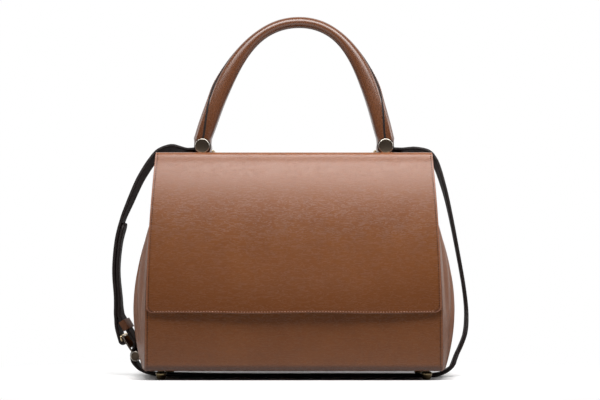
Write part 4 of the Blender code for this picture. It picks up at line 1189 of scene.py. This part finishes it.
def archPoint(share):
    # The middle line of the arch, from the left barrel at 0 to the right barrel at 1
    s = handleShape
    side = -1 if share < 0.5 else 1
    along = 1 - abs(2 * share - 1)
    end = "left" if side < 0 else "right"
    start = Vector((barrelShape["spread"], barrelZ + barrelShape["wrap"] + gap))
    top = Vector((0.0, start.y + s["rise"]))
    lower = start + Vector((-s[end + "Lean"], s["pull"]))
    upper = top + Vector((s[end + "Shoulder"], 0.0))
    rest = 1 - along
    place = start * rest ** 3 + lower * 3 * rest ** 2 * along
    place = place + upper * 3 * rest * along ** 2 + top * along ** 3
    return Vector((side * place.x + s["sway"] * along ** s["swayPower"], 0.0, place.y)), along


def archFrame(share):
    # Centre, outward direction, half thickness, half width and roundness of the handle at a share
    s = handleShape
    inside = min(max(share, 0.0), 1.0)
    centre, along = archPoint(inside)
    before = archPoint(max(inside - 0.01, 0.0))[0]
    after = archPoint(min(inside + 0.01, 1.0))[0]
    tangent = (after - before).normalized()
    across = Vector((-tangent.z, 0.0, tangent.x))
    level = Vector((-1.0 if inside < 0.5 else 1.0, 0.0, 0.0))
    mix = smoothStep(along, 0.0, s["levelEnd"])
    direction = (level * (1 - mix) + across * mix).normalized()
    thick = s["legThickness"] + (s["gripThickness"] - s["legThickness"]) * smoothStep(along, *s["slim"])
    narrow = smoothStep(along, *s["narrow"])
    endWidth = barrelShape["length"] - 2 * barrelShape["cap"] - 2 * gap
    wide = endWidth + (s["gripWidth"] - endWidth) * narrow
    power = s["footRoundness"] + (1 - s["footRoundness"]) * narrow
    extra = max(-share, share - 1, 0.0)
    if extra > 0:
        centre = centre - Vector((0, 0, extra))
        thick -= s["footTaper"][0] * min(extra / s["footTaper"][1], 1.0)
        along = 0.0
    return centre, direction, thick / 2, wide / 2, power, along


def seamAngles(along, halfThick, power):
    # The painted edge of the outer leaf. It runs from the middle of the foot out towards the outline at the
    # kink, and beyond that the leaf narrows to a tongue
    s = handleShape
    part = min(max(along, 0.0) / s["kink"], 1.0)
    reach = s["seamLow"] + (s["seamHigh"] - s["seamLow"]) * math.sin(math.pi / 2 * part) ** s["seamPower"]
    reach += (s["seamTip"] - s["seamHigh"]) * smoothStep(along, s["kink"], s["seamEnd"])
    band = s["seamBand"][0] + (s["seamBand"][1] - s["seamBand"][0]) * part
    limit = s["bandTurn"][0] + (s["bandTurn"][1] - s["bandTurn"][0]) * part
    angles = []
    for spot in (reach, reach - band / halfThick):
        angles.append(math.acos(math.copysign(abs(spot) ** (1 / power), spot)))
    return angles[0], min(angles[1], angles[0] + limit)


def leafRise(along):
    # How proud the outer leaf stands of the tube
    s = handleShape
    away = (along - s["kink"] + s["kinkBefore"]) / s["kinkSpread"]
    rise = s["leafRise"] + s["kinkRise"] * math.exp(-away ** 2)
    return rise * (1 - smoothStep(along, s["kink"] + s["leafFade"], s["seamEnd"]))


def handlePlace(station, share):
    # Stations: 0 to 1 over the outer leaf, 1 to 2 the step, 2 to 6 round the tube, mirrored for the rear
    s = handleShape
    dome, domePower = s["leafDome"]
    centre, out, halfThick, halfWide, power, along = archFrame(share)
    turn = abs(station)
    seam, ending = seamAngles(along, halfThick, power)
    leaf = leafRise(along)
    if turn <= 1:
        angle = seam * turn
        rise = leaf * (1 - dome * turn ** domePower)
    elif turn <= 2:
        angle = seam + (turn - 1) * (ending - seam)
        rise = leaf * (1 - dome - s["stepDepth"] * (turn - 1))
    else:
        angle = ending + (turn - 2) / 4 * (math.pi - ending)
        rise = -leaf * s["under"] * math.exp(-(turn - 2) * s["underFade"])
    x, y = math.cos(angle), math.sin(angle)
    x = math.copysign(abs(x) ** power, x)
    y = math.copysign(abs(y) ** power, y)
    normal = Vector((x * halfWide, y * halfThick)).normalized()
    spot = Vector((x * halfThick, y * halfWide)) + normal * rise
    side = -1 if station > 0 else 1
    return centre + out * spot.x + Vector((0, side * spot.y, 0)), farFromEdge


def handlePaint(station, share):
    # The step at the edge of the outer leaf is painted
    low, high = handleShape["paintBand"]
    along = 1 - abs(2 * min(max(share, 0), 1) - 1)
    return int(low < abs(station) < high and along < handleShape["seamEnd"])


half = (
    span(0, 1, handleShape["leafColumns"] // 2) + span(1, 2, 2) + span(2, 3, 5)
    + span(3, 6, handleShape["tubeColumns"] // 2 - 5)
)
handleAcross = [-6.0] + [-value for value in reversed(half)][:-1] + half + [6.0]
below = handleShape["below"]
handleUp = [-below, -below * 0.66, -below * 0.33] + span(0, 1, handleShape["rows"])
handleUp = handleUp + [1.0, 1 + below * 0.33, 1 + below * 0.66, 1 + below]
handle = sheetFrom("handle", handleAcross, handleUp, handlePlace, handlePaint)
handle.name = "archHandle"
closeSeam(handle, True)
giveMaterials(handle, shadedHandleTan, edgePaint)
smoothFaces(handle, 50)
settle(handle, "lid", "tan_leather", "handle")


def handleSpot(station, share):
    # A point of the handle's skin and the direction away from it
    sidestep, step = handleSeam["probe"]
    point = Vector(handlePlace(station, share)[0])
    along = Vector(handlePlace(station, share + step)[0]) - point
    across = Vector(handlePlace(station + sidestep, share)[0]) - point
    normal = along.cross(across).normalized()
    centre = archFrame(share)[0]
    if normal.dot(point - centre) < 0:
        normal = -normal
    return point, normal


for side, name in ((0, "Left"), (1, "Right")):
    for front, frontName in ((1, "Front"), (-1, "Rear")):
        line = []
        for step in range(handleSeam["points"]):
            along = handleSeam["start"] + handleSeam["reach"] * step / (handleSeam["points"] - 1)
            share = along / 2 if side == 0 else 1 - along / 2
            line.append(handleSpot(front * handleSeam["station"], share))
        stitches = sewLine("handleStitches" + frontName + name, line, tanThread, handleSeam["pitch"])
        settle(stitches, "lid", "tan_leather")
print("barrels and handle done")

# Shoulder strap

strapShape = {
    "width": 0.020, "thickness": 0.0036, "fold": 0.016, "level": 0.060, "tailLow": 0.064, "tailHigh": 0.170,
    "corner": 0.0011, "coarseStep": 0.011, "step": 0.0028, "tip": 0.009, "tipWidth": 0.30, "faceShare": 0.42,
    "stitchLine": 0.0078, "groove": 0.00012, "grooveWidth": 0.0006, "seamPitch": 0.0036, "threadSink": 0.0001,
}
ringShape = {"barX": 0.110, "wire": 0.003, "rise": 0.008, "play": 0.003}
clipShape = {
    "gap": 0.0007, "y": 0.024, "z": 0.0236, "capRadius": 0.0059, "capLength": 0.003, "core": 0.0035,
    "plate": 0.0203, "lean": 0.64, "turn": 0.20, "wire": 0.0024, "barGap": 0.0055, "frameLean": -0.0010,
    "chamfer": 0.0009, "rim": 0.0013, "sides": 56, "plateRounding": 0.0004,
}
keeperShape = {
    "length": 0.0115, "rounding": 0.0005, "station": 0.0249, "lean": 0.54, "lineX": -0.0008, "lineZ": 0.0130,
    "lead": 0.017, "leadStep": 0.006, "runOut": 0.004, "lift": 0.002, "drop": 0.006,
}
ringZ = lidTop + ringShape["rise"]
tabThickness = 0.0016
loopRadius = ringShape["wire"] / 2 + gap + tabThickness / 2
ringBarY = wallPoint(wallTop, 0.0)[0] + 2 * gap + tabThickness / 2 + loopRadius + bodyShape["leather"]
ringY = ringBarY + (strapShape["width"] + 2 * ringShape["play"]) / 2 + ringShape["wire"] / 2


def clipPlace():
    # The clip's barrel hangs just outside the left gusset, where the first of its two ends meets it
    c = clipShape
    length = strapShape["width"] / 2 + c["capLength"] + 2 * gap
    side = halfDepth(c["z"]) - bodyShape["leather"] - gap - bodyShape["corner"]
    reaches = []
    for end in (-1, 1):
        share = humpShare((c["y"] + end * length * math.cos(c["turn"])) / side)
        reaches.append(creaseReach(c["z"]) * share + end * length * math.sin(c["turn"]) * math.cos(c["lean"]))
    return halfWidth(c["z"]) + max(reaches) + c["capRadius"] + c["gap"]


clipX = clipPlace()


def smoothRoute(points, stepLength):
    # A smooth curve of place and twist through the route's points
    result = []
    for index in range(len(points) - 1):
        a = Vector(points[max(index - 1, 0)])
        b, c = Vector(points[index]), Vector(points[index + 1])
        d = Vector(points[min(index + 2, len(points) - 1)])
        steps = max(1, round((c - b).xyz.length / stepLength))
        for step in range(steps):
            t = step / steps
            result.append(0.5 * (2 * b + (c - a) * t + (2 * a - 5 * b + 4 * c - d) * t ** 2
                                 + (3 * b - a - 3 * c + d) * t ** 3))
    result.append(Vector(points[-1]))
    return result


def widthDirection(tangent, twist):
    width = Vector((0.0, 1.0, 0.0))
    width = (width - tangent * width.dot(tangent)).normalized()
    return Matrix.Rotation(twist, 3, tangent) @ width


def foldPoints(x, y, z, radius, side, start, end, steps):
    points = []
    for step in range(steps + 1):
        angle = math.radians(start + (end - start) * step / steps)
        points.append((x + side * radius * math.cos(angle), y, z + radius * math.sin(angle), 0.0))
    return points


def ringFold(side):
    radius = ringShape["wire"] / 2 + gap + strapShape["thickness"] / 2
    tail = (side * (ringShape["barX"] + strapShape["fold"]), ringY, ringZ - radius, 0.0)
    return [tail] + foldPoints(side * ringShape["barX"], ringY, ringZ, radius, side, 270, 90, 8)


def routeY(z):
    low = wallLow + strapShape["level"]
    share = min(max((z - low) / (ringZ - low), 0.0), 1.0)
    return clipShape["y"] + (ringY - clipShape["y"]) * share


def hangingPoints(side, stations):
    points = []
    for out, share, twist in stations:
        z = wallLow + (ringZ - wallLow) * share
        points.append((side * out, routeY(z), z, twist))
    return points


def shoulderPoints(side, stations):
    return [
        (side * out, routeY(min(ringZ + rise, ringZ)), ringZ + rise, twist) for out, rise, twist in stations
    ]


def frameBar(up):
    s = clipShape
    reach = s["capRadius"] + gap + s["plate"] + s["wire"] / 2 + gap
    topX = -clipX - reach * math.sin(s["lean"])
    topZ = s["z"] + reach * math.cos(s["lean"])
    return topX - s["frameLean"] * (1 - up), topZ - s["barGap"] * (1 - up)


halfTop = flapShape["topWidth"] / 2
sideReach = bodyShape["baseWidth"] / 2 + bodyShape["bellyReach"]
layer = (strapShape["thickness"] + gap) / 2
clipY, clipZ = clipShape["y"], clipShape["z"]


def keeperAxis():
    direction = Vector((-math.sin(keeperShape["lean"]), 0.0, math.cos(keeperShape["lean"])))
    return Vector((-clipX + keeperShape["lineX"], clipY, clipZ + keeperShape["lineZ"])), direction


def clipTurn(share):
    # The turn of the clip about the keeper's line, its near side outwards
    start, direction = keeperAxis()
    turn = Matrix.Rotation(-clipShape["turn"] * share, 4, direction)
    return Matrix.Translation(start) @ turn @ Matrix.Translation(-start)


def turnedPoints(points, shares):
    # Points of a strap turned with the clip, each by its share of the turn
    turned = [clipTurn(share) @ Vector(place[:3]) for place, share in zip(points, shares)]
    result = []
    for index, place in enumerate(turned):
        before = turned[max(index - 1, 0)]
        after = turned[min(index + 1, len(turned) - 1)]
        tangent = (after - before).normalized()
        level = widthDirection(tangent, 0.0)
        width = clipTurn(shares[index]).to_3x3() @ Vector((0.0, 1.0, 0.0))
        twist = math.atan2(level.cross(width).dot(tangent), level.dot(width))
        result.append((place.x, place.y, place.z, twist))
    return result


def upperRoute():
    radius = clipShape["wire"] / 2 + gap + strapShape["thickness"] / 2
    barX, barZ = frameBar(0.0)
    topX, topZ = frameBar(1.0)
    shoulder = [
        (ringShape["barX"] + 0.014, 0.0010, 0.20),
        (halfTop - 0.010, 0.0045, 0.30),
        (halfTop + 0.0035, -0.0007, 0.32),
        (halfTop + 0.0125, -0.0108, 0.28),
    ]
    hanging = [
        (halfTop + 0.0254, 0.870, 0.25),
        (halfTop + 0.0372, 0.757, 0.19),
        (sideReach + 0.0156, 0.700, 0.12),
        (sideReach + 0.0220 + layer / 2, 0.587, 0.03),
        (sideReach + 0.0234 + layer, 0.445, 0.0),
        (sideReach + 0.0204 + layer, 0.316, 0.0),
        (sideReach + 0.0192 + layer, 0.243, 0.0),
    ]
    entry = [
        (topX - radius - 0.0036, clipY, topZ + 0.019),
        (topX - radius - 0.0027, clipY, topZ + 0.008),
    ]
    fold = foldPoints(barX, clipY, barZ, radius, 1, 190, 315, 8)
    low = hangingPoints(-1, hanging[-2:]) + entry + fold
    shares = [0.2, 0.75] + [1.0] * (len(entry) + len(fold))
    route = ringFold(-1) + shoulderPoints(-1, shoulder) + hangingPoints(-1, hanging[:-2])
    return route + turnedPoints(low, shares)


def tailPoints(upper):
    # The tail lies along the inside of the upper strap
    points = []
    offset = strapShape["thickness"] + 2 * gap
    for index in range(len(upper) - 1, 0, -1):
        place = upper[index]
        if place.x > -halfWidth(place.z) - bodyShape["bellyReach"]:
            continue
        if not strapShape["tailLow"] <= place.z - wallLow <= strapShape["tailHigh"]:
            continue
        tangent = (upper[index - 1].xyz - place.xyz).normalized()
        width = widthDirection(tangent, -place.w)
        inside = place.xyz + width.cross(tangent) * offset
        points.append((inside.x, inside.y, inside.z, -place.w))
    return points


def lowerRoute(upper):
    ground = strapShape["thickness"] / 2
    start, direction = keeperAxis()
    radius = clipShape["core"] + gap + strapShape["thickness"] / 2
    shoulder = [
        (ringShape["barX"] + 0.014, 0.0014, -0.18),
        (halfTop - 0.012, 0.0019, -0.24),
        (halfTop + 0.0022, -0.0012, -0.24),
        (halfTop + 0.0098, -0.0098, -0.20),
        (halfTop + 0.0142, -0.0199, -0.15),
    ]
    hanging = [
        (halfTop + 0.0216, 0.814, -0.06),
        (sideReach + 0.0002, 0.700, 0.0),
        (sideReach + 0.0074, 0.530, 0.03),
        (sideReach + 0.0136, 0.364, 0.04),
        (sideReach + 0.0157, 0.243, 0.02),
    ]
    under = [
        (sideReach + 0.0122, clipY / 2, wallLow + 0.036, 0.0),
        (sideReach + 0.0030, clipY / 3, wallLow + 0.015, 0.0),
        (sideReach - 0.0045, 0.0, wallLow + 0.0006, 0.0),
        (sideReach - 0.0140, 0.0, ground + 0.0026, 0.0),
        (sideReach - 0.0270, 0.0, ground, 0.0),
        (sideReach - 0.0400, 0.0, ground, 0.0),
        (0.060, 0.0, ground, 0.0),
        (-0.060, 0.0, ground, 0.0),
        (-(sideReach - 0.0500), clipY * 0.8, ground, 0.0),
        (-(sideReach - 0.0380), clipY, ground, 0.0),
        (-(sideReach - 0.0270), clipY, ground, 0.0),
    ]
    rise = [
        (-(sideReach - 0.0165), clipY, ground + 0.0018),
        (-(sideReach - 0.0060), clipY, ground + 0.0066),
        (-(sideReach + 0.0012), clipY, clipZ - 0.0074),
    ]
    around = foldPoints(-clipX, clipY, clipZ, radius, -1, -20, 42, 3)
    s = keeperShape
    below, above = -s["length"] / 2 - s["drop"], s["length"] / 2 + s["lift"]
    straight = []
    for station in (-s["lead"] - s["leadStep"], -s["lead"], below, 0.0, above, above + s["runOut"]):
        place = start + direction * (s["station"] + station)
        straight.append((place.x, place.y, place.z, 0.0))
    shares = [0.2, 0.6, 0.9] + [1.0] * (len(around) + len(straight))
    route = ringFold(1) + shoulderPoints(1, shoulder) + hangingPoints(1, hanging) + under
    return route + turnedPoints(rise + around + straight, shares) + tailPoints(upper)


def strapSection():
    # A rounded flat section: each point's place across the width and through the thickness
    s = strapShape
    halfW, halfT, r = s["width"] / 2, s["thickness"] / 2, s["corner"]
    points = []
    for cornerIndex, (sx, sy) in enumerate(((1, 1), (-1, 1), (-1, -1), (1, -1))):
        for step in range(4):
            angle = math.pi / 2 * (cornerIndex + step / 3)
            points.append((sx * (halfW - r) + r * math.cos(angle), sy * (halfT - r) + r * math.sin(angle)))
        if cornerIndex in (0, 2):
            for share in (0.12, 0.3, 0.5, 0.7, 0.88):
                x = (halfW - r) * (1 - 2 * share) * sx
                away = (abs(x) - s["stitchLine"]) / s["grooveWidth"]
                points.append((x, sy * (halfT - s["groove"] * math.exp(-away ** 2))))
    return points


def strapPiece(name, route, outerSign, tipLength=0.0):
    # Sweeps the section along the route, with painted edges
    section = strapSection()
    frames = []
    travelled = [0.0]
    for index, place in enumerate(route):
        before = route[max(index - 1, 0)].xyz
        after = route[min(index + 1, len(route) - 1)].xyz
        tangent = (after - before).normalized()
        width = widthDirection(tangent, place.w)
        frames.append((place.xyz, width, tangent.cross(width)))
        if index:
            travelled.append(travelled[-1] + (place.xyz - route[index - 1].xyz).length)
    total = travelled[-1]

    def place(station, row):
        centre, width, normal = frames[int(round(row))]
        w, t = section[int(round(station)) % len(section)]
        left = total - travelled[int(round(row))]
        scale = 1.0
        if tipLength and left < tipLength:
            scale = max(math.sqrt(max(1 - (1 - left / tipLength) ** 2, 0.0)), strapShape["tipWidth"])
        return centre + width * w * scale + normal * t, strapShape["width"] / 2 - abs(w)

    def paint(station, row):
        first, second = section[int(station) % len(section)], section[(int(station) + 1) % len(section)]
        middle = (first[1] + second[1]) / 2 * outerSign
        limit = strapShape["thickness"] * strapShape["faceShare"]
        if middle > limit:
            return 0
        return 2 if middle < -limit else 1

    piece = sheetFrom(name, list(range(len(section) + 1)), list(range(len(frames))), place, paint)
    giveMaterials(piece, strapDark, edgePaint, strapDark)
    closeSeam(piece, True)
    smoothFaces(piece, 50)
    return piece, frames


upperControl = smoothRoute(upperRoute(), strapShape["coarseStep"])
upperPlaces = smoothRoute(upperControl, strapShape["step"])
lowerControl = smoothRoute(lowerRoute(upperControl), strapShape["coarseStep"])
lowerPlaces = smoothRoute(lowerControl, strapShape["step"])
for place in lowerPlaces:
    place.z = max(place.z, strapShape["thickness"] / 2)
upperStrap, upperFrames = strapPiece("strapUpper", upperPlaces, -1)
settle(upperStrap, "bag", "dark_leather", "strap_upper")
lowerStrap, lowerFrames = strapPiece("strapLower", lowerPlaces, 1, strapShape["tip"])
settle(lowerStrap, "bag", "dark_leather", "strap_lower")
threadLift = strapShape["thickness"] / 2 - strapShape["threadSink"]
for name, frames, sign in (("Upper", upperFrames, -1), ("Lower", lowerFrames, 1)):
    for edge, edgeName in ((-1, "Front"), (1, "Rear")):
        line = []
        for centre, width, normal in frames[8:-6]:
            away = normal * sign
            line.append((centre + width * edge * strapShape["stitchLine"] + away * threadLift, away))
        seam = sewLine("strapSeam" + name + edgeName, line, darkThread, strapShape["seamPitch"])
        settle(seam, "bag", "dark_leather")
print("strap done")

# Strap hardware

wires = {"strap_ring_left": "ringLeft", "strap_ring_right": "ringRight", "strap_frame": "clipFrame"}
for node, name in wires.items():
    wire = mergedCopy(node, name)
    useModifier(wire, "SUBSURF", levels=2, render_levels=2)
    giveMaterials(wire, goldMetal)
    smoothFaces(wire, 80)
    settle(wire, "bag", "brass", node)

s = clipShape
length = strapShape["width"] + 2 * s["capLength"] + 4 * gap
profile = spoolProfile(length, s["capLength"], s["capRadius"], s["chamfer"], s["core"])
matrix = clipTurn(1) @ Matrix.Translation((-clipX, clipY, clipZ)) @ Matrix.Rotation(math.pi / 2, 4, "X")
clipBarrel = turnedPiece("clipBarrel", profile, s["sides"], matrix)
giveMaterials(clipBarrel, darkMetal, highlightMetal)
barrelAxis = clipTurn(1).to_3x3() @ Vector((0, 1, 0))
paintRimHighlight(clipBarrel, matrix.translation, barrelAxis, s["capRadius"] - s["rim"], s["capRadius"])
smoothFaces(clipBarrel, 30)
settle(clipBarrel, "bag", "dark_bronze", "clip_barrel")

clipPlate = mergedCopy("clip_plate", "clipPlate")
giveMaterials(clipPlate, darkMetal, highlightMetal)
# Its rounded edges get the brighter metal, a painted highlight
softenEdges(clipPlate, clipShape["plateRounding"], 30, 1)
smoothFaces(clipPlate, 35)
settle(clipPlate, "bag", "dark_bronze", "clip_plate")

tabLook = {
    "width": 0.009, "length": 0.018, "seam": 0.012, "bendDrop": 0.006, "bendRise": 0.0035,
    "returnDrop": 0.004, "turnSteps": 12, "fromBar": 0.014, "rounding": 0.0003,
    "across": (-1, -0.7, -0.4, 0, 0.4, 0.7, 1),
}


def tabLine():
    # Depth and height along the leather, from under the ring up, round its bar and down again
    t = tabLook
    low = wallTop - t["length"]
    inside = gap + tabThickness / 2
    path = [wallPoint(low, inside), wallPoint(wallTop - t["bendDrop"], inside)]
    path.append((ringBarY - loopRadius, wallTop + t["bendRise"]))
    for step in range(t["turnSteps"] + 1):
        angle = math.pi - math.pi * step / t["turnSteps"]
        path.append((ringBarY + loopRadius * math.cos(angle), ringZ + loopRadius * math.sin(angle)))
    outside = inside + tabThickness + gap
    path.append((ringBarY + loopRadius, ringZ - t["returnDrop"]))
    path.append(wallPoint(wallTop - t["seam"], outside))
    path.append(wallPoint(low, outside))
    return path


tabPath = [Vector(point) for point in tabLine()]


def tabPlace(middle):
    half = tabLook["width"] / 2

    def place(x, row):
        index = int(round(row))
        before, after = tabPath[max(index - 1, 0)], tabPath[min(index + 1, len(tabPath) - 1)]
        tangent = (after - before).normalized()
        point = tabPath[index] + Vector((-tangent.y, tangent.x)) * tabThickness / 2
        return Vector((middle + x * half, point.x, point.y)), (1 - abs(x)) * half
    return place


for side, name in bothSides:
    tabX = side * (ringShape["barX"] - tabLook["fromBar"] / 2 - ringShape["wire"] / 2)
    tab = sheetFrom("ringTab" + name, tabLook["across"], list(range(len(tabPath))), tabPlace(tabX))
    finishLeather(tab, smallTan, tabThickness, tabLook["rounding"])
    settle(tab, "bag", "tan_leather", "strap_tab_" + name.lower())

keeper = mergedCopy("strap_keeper", "keeperLoop")
giveMaterials(keeper, smallTan)
softenEdges(keeper, keeperShape["rounding"], 40)
smoothFaces(keeper, 40)
settle(keeper, "keeper", "tan_leather", "strap_keeper")
print("hardware done")

for node in ("panel_magnet_left", "panel_magnet_right", "flap_magnet_left", "flap_magnet_right"):
    giveMaterials(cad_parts[node], steelMetal)
